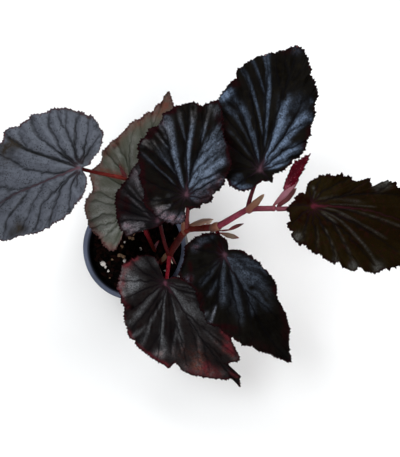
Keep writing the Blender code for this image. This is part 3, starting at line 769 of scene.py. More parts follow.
LOOKS["leaf_2"] = {
    **NIGHT,
    "slot": "green_leaf",
    "dark": (0.056, 0.058, 0.042),
    "dark_2": (0.074, 0.076, 0.062),
    "fleck": (0.045, 0.05, 0.034),
    "pale_and_sheen_colour": (0.15, 0.155, 0.142),
    "blush_colour": (0.17, 0.105, 0.105),
    "stain_colour": (0.115, 0.04, 0.026),
    "margin_colour": (0.105, 0.062, 0.056),
    "margin": 7.0,
    "margin_amount": 0.7,
    "hem_colour": (0.042, 0.012, 0.011),
    "hem": 2.0,
    "vein_line_and_shade_colour": (0.022, 0.027, 0.016),
    "grain": (0.75, 1.15),
    "net": 0.2,
    "specular": 0.15,
    "edge": (
        (169, 92), (167, 94), (165, 97), (163.5, 100), (161.5, 103.5), (158.5, 104.5), (157, 106),
        (155, 108), (154, 111), (150, 112.5), (147, 113.5), (144, 116), (142, 118.5), (140, 120),
        (137, 121), (134, 122.5), (131, 124), (129, 126.5), (127, 129), (125, 131), (122, 133.5),
        (120, 136), (118, 138.5), (115, 140), (112, 142), (110, 145), (108, 147.5), (106, 149.5),
        (103, 150.5), (102, 152.5), (103, 155), (102.5, 158), (102, 161), (100, 164), (97, 167),
        (94, 169.5), (91.5, 172), (91, 175), (91.5, 178), (92.5, 181), (93, 185), (93, 189), (92.5, 192),
        (90, 194), (89, 197), (87, 200), (87, 203), (86, 206), (86, 210), (86.5, 214), (87.5, 218),
        (88, 222), (89, 225), (91, 228), (93, 231), (95, 233), (97, 235), (99.5, 236), (101, 239),
        (102, 242), (104, 244.5), (106, 247), (109, 249), (112, 250.5), (115, 249.5), (117, 246.5),
        (119, 244), (120.5, 240), (122, 236), (125, 228), (129, 218), (132, 211), (137, 208), (145, 213),
        (152, 214), (158, 210), (164, 203), (169, 193), (172, 184), (175, 172), (177, 160), (178, 147),
        (178, 134), (177, 121), (175, 109), (173, 103), (171.5, 98), (170, 93.5),
    ),
    "veins": (
        ((134, 197), (137, 175), (143, 152), (150, 133), (158, 115), (168, 94)),
        ((133, 192), (130, 172), (125, 158), (119, 148), (113, 141)),
        ((130, 172), (129, 155), (131, 138), (136, 127)), ((132, 194), (122, 172), (113, 160), (105, 152)),
        ((130, 195), (118, 183), (105, 176), (94, 172)),
        ((130, 196), (118, 201), (108, 196), (100, 192), (92, 193)),
        ((130, 198), (118, 206), (105, 203), (92, 200)),
        ((130, 200), (117, 216), (105, 213), (97, 217), (89, 220)),
        ((131, 203), (115, 222), (101, 225), (90, 228)), ((132, 204), (122, 225), (117, 238), (112, 248)),
        ((131, 204), (118, 224), (106, 236), (98, 241)), ((136, 192), (148, 175), (160, 160), (172, 148)),
        ((142, 153), (152, 145), (165, 130)), ((145, 146), (141, 133), (141, 121)),
        ((152, 129), (151, 119), (150, 113)),
    ),
    "pale_and_sheen": (
        (106, 168, 4, 0.5), (135, 166, 4, 0.5), (97, 183, 4, 0.6), (116, 190, 4.5, 0.65),
        (112, 200, 4, 0.2), (118, 228, 4, 0.2), (92, 233, 3.5, 0.25), (124, 232, 3, 0.7),
        (106, 153, 3, -0.55), (150, 115, 3, -0.27), (155, 120, 3.5, 0.37), (157, 108, 3, 0.25),
        (95, 195, 3, 0.28), (142, 121, 4, 0.4), (96, 188, 4, 0.4), (98, 176, 4, 0.2), (116, 146, 3, -0.3),
        (163, 101, 3, 0.5),
    ),
    "sheen": (
        (0.55, 2.8, 2.6, ((112, 163), (115, 173))), (0.4, 2.8, 2.6, ((97, 222), (106, 225))),
        (0.22, 3, ((95, 205), (110, 205))), (0.5, 2.5, ((92, 180), (98, 189), (112, 190))),
        (0.5, 3, ((107, 160), (114, 160), (120, 164))), (0.4, 2.5, ((119, 156), (124, 150))),
        (0.5, 2.5, ((96, 175), (102, 178))), (0.25, 4, ((94, 206), (104, 205))),
        (0.3, 2.2, ((90, 216), (100, 215), (110, 212))), (-0.3, 5, ((102, 243), (113, 240))),
        (-0.5, 3, 2.4, ((114, 148), (119, 143))), (1, 12, 14, ((104, 196), (104, 214), (110, 238))),
        (0.7, 3.5, 4, ((131, 166), (132, 150), (134, 134))),
        (0.4, 2, 2.5, ((121, 162), (118, 150), (116, 144))), (0.5, 3, ((152, 122), (158, 112))),
    ),
    "blush": (
        (97, 178, 6, 1), (96, 189, 5, 0.8), (113, 158, 6, 0.5), (134, 128, 8, 0.6), (150, 116, 6, 0.6),
    ),
    "stain": (
        (166, 103, 8, 1), (157, 112, 7, 0.6), (106, 152, 5, 0.6), (116, 142, 6, 0.4), (140, 122, 6, 0.35),
    ),
    "crimson": (
        (0.8, 3, 4, ((96, 169), (110, 173), (124, 177))), (0.8, 2, 3, ((120, 164), (124, 171), (127, 178))),
        (0.6, 2.5, ((93, 174), (94, 190))),
        (0.35, 4, ((104, 153), (114, 143), (127, 132), (141, 121), (155, 110))),
        (0.5, 3, ((96, 234), (104, 243), (113, 248))), (0.4, 2.5, ((87, 200), (87, 214))),
    ),
}
LOOKS["leaf_3"] = {
    **NIGHT,
    "dark": (0.0045, 0.004, 0.0042),
    "dark_2": (0.0085, 0.0078, 0.008),
    "pale_and_sheen_colour": (0.112, 0.106, 0.118),
    "margin": 3.5,
    "edge": (
        (138, 163), (136, 166), (133, 169), (131, 172), (129.5, 175), (129, 178), (127, 181), (125, 183),
        (122, 185.5), (120.5, 188), (118, 190.5), (117, 194), (116.5, 198), (116, 203), (116.5, 208),
        (117, 213), (117.5, 217), (118, 221), (119, 225), (121, 229), (123, 231), (125, 232), (126, 235),
        (128, 236), (131, 234), (135, 233), (139, 232), (143, 230.5), (147, 229.5), (151, 229), (155, 228),
        (160, 226), (164, 222), (168, 215), (169, 208), (170, 200), (169, 191), (166, 184), (161, 177),
        (156, 172), (150, 167), (145, 164), (141, 162),
    ),
    "veins": (
        ((159, 218), (151, 205), (145, 192), (140, 178), (137, 168)),
        ((158, 218), (145, 206), (133, 197), (122, 191)), ((157, 219), (143, 211), (130, 204), (118, 199)),
        ((156, 221), (142, 216), (130, 212), (118, 210)), ((156, 223), (143, 221), (130, 220), (119, 222)),
        ((157, 225), (145, 228), (134, 233)), ((160, 217), (155, 203), (151, 190), (149, 178)),
        ((161, 216), (160, 205), (160, 195)),
    ),
    "pale_and_sheen": ((137, 176, 7, 0.5), (124, 228, 2.5, 0.4), (128, 234, 3, 0.35), (126, 221, 2.5, -0.15)),
    "sheen": (
        (0.25, 2, 2.2, ((133, 168), (139, 173))), (0.18, 2, ((136, 184), (143, 196))),
        (-0.45, 2.6, ((130, 229), (140, 226), (150, 224))), (0.45, 2, ((160, 214), (166, 212))),
        (0.22, 2, 1.6, ((172, 217), (178, 215))), (0.95, 3.5, 4.5, ((146, 225), (134, 227), (123, 226))),
        (0.6, 2.5, 3, ((140, 229), (130, 232))),
        (0.23, 1.4, 1.8, ((150, 217), (141, 208), (131, 198), (121, 189))),
        (0.23, 1, 1.3, ((148, 208), (139, 198), (129, 186))),
        (0.2, 2, 3, ((150, 204), (142, 190), (137, 178))),
        (0.23, 2, 3, ((150, 221), (136, 220), (122, 218))),
    ),
    "blush": ((128, 229, 7, 0.7), (150, 226, 7, 0.5), (132, 172, 7, 0.5)),
    "crimson": (
        (0.8, 3, ((126, 182), (119, 192), (118, 206), (120, 220))), (0.7, 5, ((127, 196), (126, 214))),
    ),
}
LOOKS["leaf_4"] = {
    **NIGHT,
    "edge": (
        (188.3, 207.6), (189.8, 209.6), (191.3, 209.6), (193.3, 208.6), (196.3, 207.6), (199.8, 208.6),
        (201.3, 204.6), (204.3, 203.1), (206.3, 204.1), (209.3, 201.6), (211.3, 202.1), (212.3, 198.6),
        (212.8, 194.6), (215.3, 193.6), (216.3, 191.1), (219.3, 190.6), (221, 188.5), (222, 186),
        (224, 184), (225, 180), (225.5, 177), (227, 175), (228, 172), (230, 170), (231, 166), (232, 163),
        (231, 160), (230, 157), (229, 152), (228, 149), (227, 146), (226, 142), (224, 139), (223, 135),
        (223.5, 131), (222, 127), (223, 122), (222.5, 118), (222, 114), (221.5, 110), (220.5, 106),
        (219, 102.5), (216, 101.8), (212, 102.8), (208, 104.3), (205, 104.3), (203, 105.8), (200, 105.8),
        (198, 103.8), (193, 102.8), (190, 103.3), (185, 104.8), (180, 105.8), (175, 107), (172, 110),
        (168, 112), (165, 114), (163.5, 118), (161.5, 121.5), (159.5, 125.5), (157, 127.5), (154, 127),
        (151, 128.5), (149, 130), (148, 133), (146, 135), (145, 138), (142, 140), (141, 143), (139, 146),
        (139, 149), (140, 151), (138.5, 154), (138, 157), (139.5, 160), (140, 163), (140.5, 167),
        (142, 170), (141, 174), (140.5, 178), (142, 182), (142, 186), (144, 189), (145, 192), (144.5, 196),
        (144, 200), (145, 204), (147, 207), (150, 209.5), (153, 212), (155, 215), (158, 217), (160, 218.5),
        (163, 219), (166, 222), (170, 222.5), (173, 224), (177, 223.5), (181, 224), (184, 221), (185, 217),
        (184.5, 213), (184, 210.5), (185.5, 208),
    ),
    "veins": (
        ((186.5, 194), (187, 175), (186.3, 160), (186, 148), (187.5, 137), (189, 126), (189, 115),
         (189.5, 104)),
        ((186, 146), (183, 140), (180, 133), (177, 123), (176, 112)),
        ((188.5, 122), (185, 115), (180, 105)),
        ((187, 192), (190, 176), (194, 162), (199, 150), (201, 140), (203, 128), (207, 108)),
        ((200, 148), (208, 139), (214, 128), (220, 117)), ((203.5, 127), (201, 117), (198, 105)),
        ((185, 192), (178, 180), (175, 171), (171, 157), (169.3, 146), (168, 137), (164, 128), (160, 121)),
        ((169, 147), (163, 140), (156, 130)),
        ((184, 192), (174, 176), (166, 165), (159, 154), (154, 145), (149, 136)),
        ((166, 165), (158, 158), (150, 151), (141, 146)),
        ((183, 193), (170, 183), (158, 172), (149, 163), (141, 155)),
        ((183, 195), (168, 190), (153, 184), (142, 179)), ((183, 196), (170, 199), (158, 201), (146, 200)),
        ((184, 197), (174, 205), (164, 212), (155, 217)), ((185, 198), (180, 210), (175, 222)),
        ((188, 192), (199, 181), (211, 176), (224, 169)), ((189, 194), (200, 188), (209, 183), (219, 178)),
        ((191, 177), (201, 165), (211, 158), (224, 148)), ((197, 158), (208, 149), (222, 138)),
        ((188, 196), (198, 197), (208, 197)), ((187, 198), (193, 204), (198, 207)),
    ),
    "pale_and_sheen": (
        (215, 112, 5, 0.4), (172, 219, 5, 0.9), (162, 217, 5, 0.7), (181, 219, 5, 0.7),
        (212, 113, 4, -0.25), (168, 204, 4.5, -0.5), (218, 181, 3, 0.25), (150, 127, 2.5, 0.4),
        (146, 141, 3, 0.6), (160, 124, 3, 0.5), (162, 211, 3.5, 0.5), (155, 203, 4, 0.12),
        (210, 106, 3, 0.25), (157, 200, 3, 0.2), (163, 196, 3, -0.2), (168, 204, 2.5, -0.25),
        (212, 160, 3, 0.2), (222, 150, 3, 0.25),
    ),
    "sheen": (
        (0.36, 3, 3.2, ((191, 192), (195, 178), (205, 165), (216, 153), (227, 142))),
        (0.3, 2.2, 2.8, ((196, 177), (205, 165), (217, 152))),
        (0.36, 2, 1.6, ((187, 168), (187, 158), (189, 145), (190, 132))),
        (0.16, 1.6, 1.4, ((205, 133), (207, 118))), (0.35, 1.8, 1.6, ((197, 162), (203, 152), (206, 140))),
        (0.26, 2.4, 2.2, ((195, 194), (206, 187), (214, 184))), (0.33, 1.3, ((203, 178), (213, 172))),
        (0.1, 1.5, ((192, 196), (204, 196))), (0.25, 2.5, ((163, 121), (165, 129), (168, 139))),
        (0.06, 6, ((161, 146), (170, 158), (178, 150))), (0.18, 2.5, ((189, 146), (190, 135))),
        (0.3, 2.2, ((202, 139), (206, 122))), (0.32, 2.6, ((201, 188), (208, 184), (216, 179))),
        (-0.25, 2.2, 2, ((219, 135), (214, 142))), (-0.4, 1.8, ((193, 106), (194, 119))),
        (0.36, 3, ((160, 122), (165, 130))), (0.3, 1.5, 1.6, ((142, 138), (149, 141))),
        (0.25, 1.6, 1.4, ((153, 143), (158, 150), (163, 160))), (0.17, 1.4, 1.2, ((161, 139), (166, 147))),
        (0.18, 1.3, 1, ((175, 168), (177, 175))),
        (0.6, 0.9, 3, ((189, 190), (188.2, 172), (188.8, 156), (190.3, 142), (192, 130), (193.5, 117),
                       (193, 107))),
        (0.65, 1.3, 4.2, ((184.5, 191), (182, 183), (179.5, 173), (177, 163), (174.5, 152), (172, 140),
                          (169.5, 128), (167.5, 118))),
        (0.22, 0.8, 2.6, ((185.5, 141), (183.5, 132), (181, 122), (179, 112))),
        (0.3, 0.8, 3.2, ((202, 142), (203.5, 132), (207, 120), (211, 107))),
        (1, 1.5, 5, ((190.5, 187), (194, 176), (199, 165), (204, 156), (211, 147), (219, 138))),
        (0.85, 1.2, 5, ((193, 187), (203, 176), (213, 168), (225, 160))),
        (0.7, 1.2, 3.2, ((196, 189), (207, 181), (217, 175))),
        (0.4, 1, 4, ((202, 147), (210, 138), (219, 126))),
        (0.25, 2, 3, ((196, 197), (205, 193), (214, 190))),
        (0.25, 1, 2.4, ((177, 174.5), (168, 163.5), (158, 151), (151.5, 140))),
        (0.25, 1.6, 2.2, ((152, 149), (146, 144), (142, 146))),
        (0.3, 0.8, 1.7, ((169, 149), (164, 142.5), (156, 132.5))),
        (0.2, 1, 2.2, ((175, 184.5), (169, 178), (160.5, 171), (152.5, 163.5), (141.5, 153.5))),
        (0.95, 2.5, 4, ((171, 204), (164, 208.5), (157, 212))), (0.15, 3, ((171, 196), (160, 200))),
        (-0.25, 4, ((153, 192), (146, 197))), (0.75, 3.2, ((193, 188), (201, 180), (210, 173))),
        (-0.1, 5, 6, ((166, 182), (160, 172), (152, 166))),
        (0.32, 3, ((190, 196), (198, 200), (206, 198), (212, 193))), (0.28, 2.5, ((218, 185), (224, 177))),
        (0.14, 5, ((192, 178), (196, 167), (203, 157))),
    ),
    "blush": (
        (160, 216, 7, 1), (172, 219, 7, 1), (183, 218, 6, 0.9), (213, 191, 6, 0.9), (200, 203, 6, 0.8),
        (226, 172, 5, 0.6), (160, 123, 5, 0.7), (206, 197, 8, 0.8), (221, 181, 6, 0.9), (225, 147, 5, 0.5),
    ),
    "ash": (
        (184, 108, 14, 1), (206, 114, 14, 1), (158, 136, 14, 0.8), (160, 204, 16, 1), (148, 146, 10, 0.9),
    ),
    "crimson": (
        (0.9, 3.5, ((166, 113), (172, 112), (176, 109))), (0.9, 3, ((157, 130), (152, 134), (146, 140))),
        (0.8, 3, ((142, 158), (143, 172), (144, 186))), (0.35, 6, ((148, 184), (156, 190))),
        (0.7, 2.5, ((145, 196), (149, 206), (156, 214))), (0.6, 2, 2.5, ((200, 105), (199, 112))),
        (0.6, 3, ((218, 114), (220, 126))), (0.5, 3, ((228, 150), (228, 166), (224, 178))),
        (0.6, 2.5, ((221, 183), (212, 189), (206, 198), (196, 204))),
    ),
}
LOOKS["leaf_5"] = {
    **NIGHT,
    "fleck": (0.0062, 0.0046, 0.0022),
    "pale_and_sheen_colour": (0.092, 0.124, 0.184),
    "blush_colour": (0.04, 0.022, 0.015),
    "margin": 2.0,
    "edge": (
        (296, 45.5), (294, 47.5), (290, 49), (286, 51), (282, 51), (278, 52), (274, 54), (270, 53.5),
        (267, 54.5), (264, 56), (260, 57), (256, 58), (254, 60), (251, 61), (249, 63), (246, 64),
        (243, 66.5), (240, 68.5), (237.5, 70), (237, 73), (238, 76), (238.5, 78.5), (235.9, 80.4),
        (232.9, 82.4), (230, 84.5), (227.5, 87), (225.5, 90), (223, 93), (221, 96), (219.5, 99), (218, 102),
        (215, 111), (213, 121), (212, 132), (213, 143), (215, 153), (218, 162), (222, 171), (226, 178),
        (228, 181), (230, 184.5), (233, 187), (236, 189), (240, 190.5), (244, 190.5), (248, 190),
        (252, 189.5), (254.5, 187), (257, 184.5), (260.5, 182.9), (262.5, 180.9), (265.5, 181.9),
        (268.5, 180.9), (271.5, 182.4), (273, 179.9), (272.5, 176.9), (273.5, 174.4), (276.5, 172.9),
        (280.5, 171.4), (284.5, 169.9), (287.5, 166.9), (290.5, 163.9), (292.5, 160.9), (293.5, 158.4),
        (296.5, 157.9), (298.5, 156.4), (300.5, 154.9), (303, 151.5), (305, 149), (306, 146), (306.5, 142),
        (307, 140), (309, 137), (310.5, 134), (310, 130), (311, 126), (312, 123), (313.5, 120), (314, 116),
        (315, 113), (314.5, 110), (314, 106), (315, 103), (316, 100), (317, 97), (317.5, 94), (317, 91),
        (316, 88), (314.5, 85), (315, 82), (313, 79), (311, 77), (309.5, 74), (310.5, 70), (310, 67),
        (308, 65), (308, 60), (306, 57), (304.5, 54), (304, 51), (301.5, 49), (299, 47),
    ),
    "veins": (
        ((261, 168), (265, 157), (269, 145), (273, 130), (277, 115), (280, 102), (284, 90), (289, 78),
         (294, 62), (297, 47)),
        ((260.5, 168), (263, 152), (264, 135), (264.5, 118), (265, 103), (266, 90), (267.5, 76),
         (267, 62), (265, 54)),
        ((265, 97), (262, 88), (257, 75), (253, 64), (251, 59)),
        ((260, 166), (260, 148), (257, 130), (253, 112), (250.5, 98), (249, 86), (246, 76), (242, 69)),
        ((259, 166), (254, 152), (249, 138), (245, 125), (242, 114), (236, 108), (225, 101)),
        ((244, 121), (238, 108), (231, 96), (226, 86)),
        ((258, 166), (250, 152), (241, 138), (232, 125), (222, 113)),
        ((257, 168), (245, 158), (235, 150), (226, 142)), ((257, 169), (244, 169), (232, 170)),
        ((257, 171), (248, 177), (240, 183), (234, 187)),
        ((262, 167), (270, 155), (278, 145), (284, 135), (290, 125), (297, 112), (302, 103), (312, 96)),
        ((284, 136), (292, 131), (300, 126), (312, 121)),
        ((262, 168), (272, 160), (283, 151), (296, 146), (306, 141)),
        ((263, 169), (275, 166), (285, 162), (293, 157)), ((281, 99), (290, 91), (300, 86), (312, 82)),
        ((286, 84), (296, 75), (306, 69)), ((283, 93), (278, 80), (276, 66), (276, 54)),
        ((290, 76), (286, 66), (284, 52)), ((262, 171), (266, 176), (269, 181)),
    ),
    "pale_and_sheen": (
        (296, 51, 4, 0.5), (305, 117, 5, 0.38), (298, 104, 9, 0.12), (240, 178, 6, 0.15),
        (266.5, 56, 3, 0.5), (226, 95, 6, 0.7), (232, 94, 3, 0.15), (236, 101, 3, 0.2),
    ),
    "sheen": (
        (0.3, 2.6, 2.4, ((267, 156), (275, 143), (283, 130), (290, 118))),
        (0.3, 2, 1.6, ((264, 163), (270, 155))), (0.36, 2, ((282, 147), (290, 142))),
        (0.42, 2.6, 2.4, ((265, 166), (275, 160), (288, 156))), (0.25, 2, ((264, 168), (276, 163.5))),
        (-0.42, 3.2, 3.4, ((284, 94), (283, 107))), (-0.13, 2.5, ((240, 115), (247, 140))),
        (0.11, 2, ((266, 92), (266, 112))), (0.16, 1.6, ((310, 98), (312, 104))),
        (0.26, 1.6, ((311, 115), (311, 121))), (-0.2, 1.6, ((252, 120), (253, 132))),
        (-0.14, 3, ((262, 64), (266, 74))), (1, 3.5, 4, ((231, 92), (227, 94), (221, 99))),
        (0.33, 1.2, 4.2, ((259.5, 164), (257, 152), (254, 140), (250, 125), (244, 113), (240, 106))),
        (0.3, 0.8, 2.2, ((262.5, 134), (260.5, 122), (257.5, 108), (254, 96), (250, 84), (246, 75),
                         (242, 69))),
        (0.28, 0.9, 1.9, ((264, 92), (259.5, 78), (256, 68), (252, 60))),
        (0.5, 1, 2.8, ((264.5, 146), (266, 130), (267.5, 113), (268.7, 98), (269, 84), (267.5, 70),
                       (266.5, 56))),
        (0.95, 1.4, 5.2, ((264, 164), (269, 151), (275, 137), (280, 124), (283.5, 110), (285, 98))),
        (0.88, 1.4, 4.7, ((266, 161), (277, 150), (287, 138), (295, 127), (303, 119))),
        (0.78, 1.4, 4.2, ((268, 164), (279, 157), (289, 152), (299, 147))),
        (0.9, 1.5, 2.5, ((268, 168), (278, 166), (287, 161))),
        (0.45, 3, ((233, 184), (241, 188), (250, 188))),
        (0.2, 1.5, 3, ((249, 141), (242, 127), (235, 115), (226, 107))),
        (0.12, 1.5, 2.5, ((250, 155), (240, 143), (228, 131))),
        (-0.3, 6, 7, ((228, 138), (235, 150), (240, 166))), (-0.25, 4, ((246, 176), (256, 178))),
        (-0.22, 4, ((283, 100), (283, 115))), (0.18, 3.5, ((270, 167), (282, 161))),
    ),
    "blush": ((296, 51, 7, 1), (284, 56, 7, 0.6)),
    "crimson": (
        (0.9, 3, 3.5, ((241, 84), (232, 86))), (0.5, 4, ((226, 122), (224, 136))),
        (0.25, 5, ((232, 146), (232, 168))), (0.8, 4, ((227, 138), (228, 148))),
        (0.5, 3, ((282, 54), (292, 52))), (0.6, 2.5, ((309, 126), (307, 140), (302, 149))),
    ),
}
LOOKS["leaf_6"] = {
    **NIGHT,
    "slot": "brown_leaf",
    "dark": (0.0056, 0.0028, 0.0005),
    "dark_2": (0.0088, 0.0056, 0.0014),
    "fleck": (0.0125, 0.0032, 0.0024),
    "pale_and_sheen_colour": (0.052, 0.052, 0.048),
    "stain_colour": (0.006, 0.001, 0.0004),
    "margin": 1.6,
    "rosy_colour": (0.05, 0.008, 0.014),
    "rosy_rib": 40.0,
    "tint": (1.0, 0.97, 0.93),
    "ruffle": 2.2,
    "edge": (
        (288.1, 207.2), (291, 204), (293, 202), (295, 200), (294, 198), (296, 196.5), (298, 195),
        (299.5, 193.5), (302, 193), (305, 194), (306.5, 192), (306.5, 188), (308, 185), (309.5, 182),
        (311, 181), (314, 179.5), (317, 178), (320, 176), (323, 175.5), (326, 176), (328.5, 174.5),
        (331, 176.5), (334, 177), (337, 176), (340, 175), (342, 174), (344, 177), (347, 176.5),
        (350, 176.5), (352, 177), (352.5, 180), (356, 181.5), (360, 182), (363, 181), (366, 179.5),
        (368, 178.5), (369, 181), (371, 185.3), (374, 188.8), (377, 190.3), (380, 188.8), (381, 185.8),
        (383, 182.5), (386, 182), (389, 182), (392, 184), (395.5, 184), (396, 187), (398, 189), (401, 190),
        (405, 192), (407, 197), (412, 200), (415, 205), (420, 209), (422, 215), (426, 221), (428, 228),
        (431, 234), (432, 240), (427, 245), (423, 250), (417, 253), (413, 259), (408, 260), (404, 264.5),
        (399, 265), (397, 265.5), (395, 267), (392, 266), (389, 269.5), (386, 268), (383, 269.5),
        (380, 271), (377, 272.5), (372, 272.5), (368, 271.5), (364, 271.5), (362.5, 268), (358, 267),
        (357, 269), (354, 271), (350, 270), (346, 268.5), (343, 267), (342, 264), (340, 262), (337, 261.5),
        (334, 263.5), (330, 261.5), (327, 259.5), (324, 258.5), (323, 256), (320, 254), (317, 253),
        (315, 253.5), (312, 251), (310, 249.5), (307.5, 248.5), (306, 245.5), (303, 244), (299.1, 244.7),
        (297.1, 242.2), (294.1, 239.7), (291.1, 235.2), (293.1, 232.2), (290.1, 229.7), (287.6, 226.7),
        (288.6, 223.2), (291.1, 221.2), (289.6, 218.2), (290.1, 215.2), (289.1, 212.7), (287.1, 210.2),
    ),
    "veins": (
        ((313, 206), (330, 206), (350, 207.5), (375, 212), (400, 220), (434, 236)),
        ((338, 208), (355, 212), (372, 218), (392, 226), (412, 238)),
        ((315, 207.5), (331, 212.5), (348, 220), (364, 229), (380, 239), (398, 252)),
        ((315, 209), (328, 220), (344, 231), (356, 244), (367, 255), (375, 265)),
        ((314, 210), (319, 220), (325, 232), (331, 243), (334, 254), (334, 262)),
        ((333, 224), (341, 239), (348, 252), (352, 266)), ((312, 211), (314, 225), (316, 238), (316, 250)),
        ((310, 211), (306, 224), (304, 236), (300, 243)), ((308, 210), (300, 216), (292, 225)),
        ((308, 206), (299, 204), (290, 207)),
        ((315, 204), (330, 199), (350, 195), (375, 193), (400, 195), (420, 205)),
        ((313, 202), (322, 192), (335, 185), (350, 178)), ((340, 197), (356, 188), (368, 181)),
        ((375, 193), (385, 188), (390, 183)), ((312, 201), (315, 190), (320, 179)),
        ((311, 201), (309, 192), (309, 184)),
    ),
    "pale_and_sheen": (
        (298, 237, 4, 1.2), (353, 266, 3.5, 1.2), (378, 267, 5, 0.9), (386, 184, 4, 1), (335, 260, 3, 0.6),
        (378, 187, 5, 0.5),
    ),
    "sheen": (
        (0.45, 1.5, 1.4, ((322, 213), (336, 223))), (0.18, 1.3, 1.2, ((338, 213), (350, 220))),
        (-0.2, 2.2, ((340, 197), (366, 199))),
        (0.32, 0.8, 1.7, ((318, 209), (330, 214), (341, 221), (352, 232), (362, 243), (372, 256),
                          (378, 266))),
        (0.26, 0.8, 1.5, ((322, 207.5), (338, 211), (352, 219), (368, 228), (385, 238))),
        (0.23, 0.7, 1.6, ((342, 208), (358, 212), (375, 217), (392, 223), (405, 228))),
        (0.33, 0.9, 2, ((320, 223), (326, 231), (331, 242), (335, 254), (335, 261))),
        (0.26, 0.8, 1.8, ((335, 224), (341, 236), (347, 248), (353, 262))),
        (0.21, 1, 4, ((318, 199), (332, 197.5), (348, 198.5), (362, 201))),
        (0.2, 0.9, 1, ((330, 204.5), (350, 205), (375, 207))),
        (0.8, 0.8, 1.4, ((313, 199), (314.5, 192), (313, 187))),
        (0.33, 0.8, 1.2, ((316, 199.5), (319, 194))), (0.16, 1, 1.6, ((317, 226), (318, 238), (317, 248))),
        (0.23, 1.5, 2, ((306, 224), (304, 234))),
    ),
    "crimson": ((0.9, 4.5, 4, ((294, 200), (303, 199), (311, 202))), (0.95, 6, ((307, 212), (300, 222)))),
}
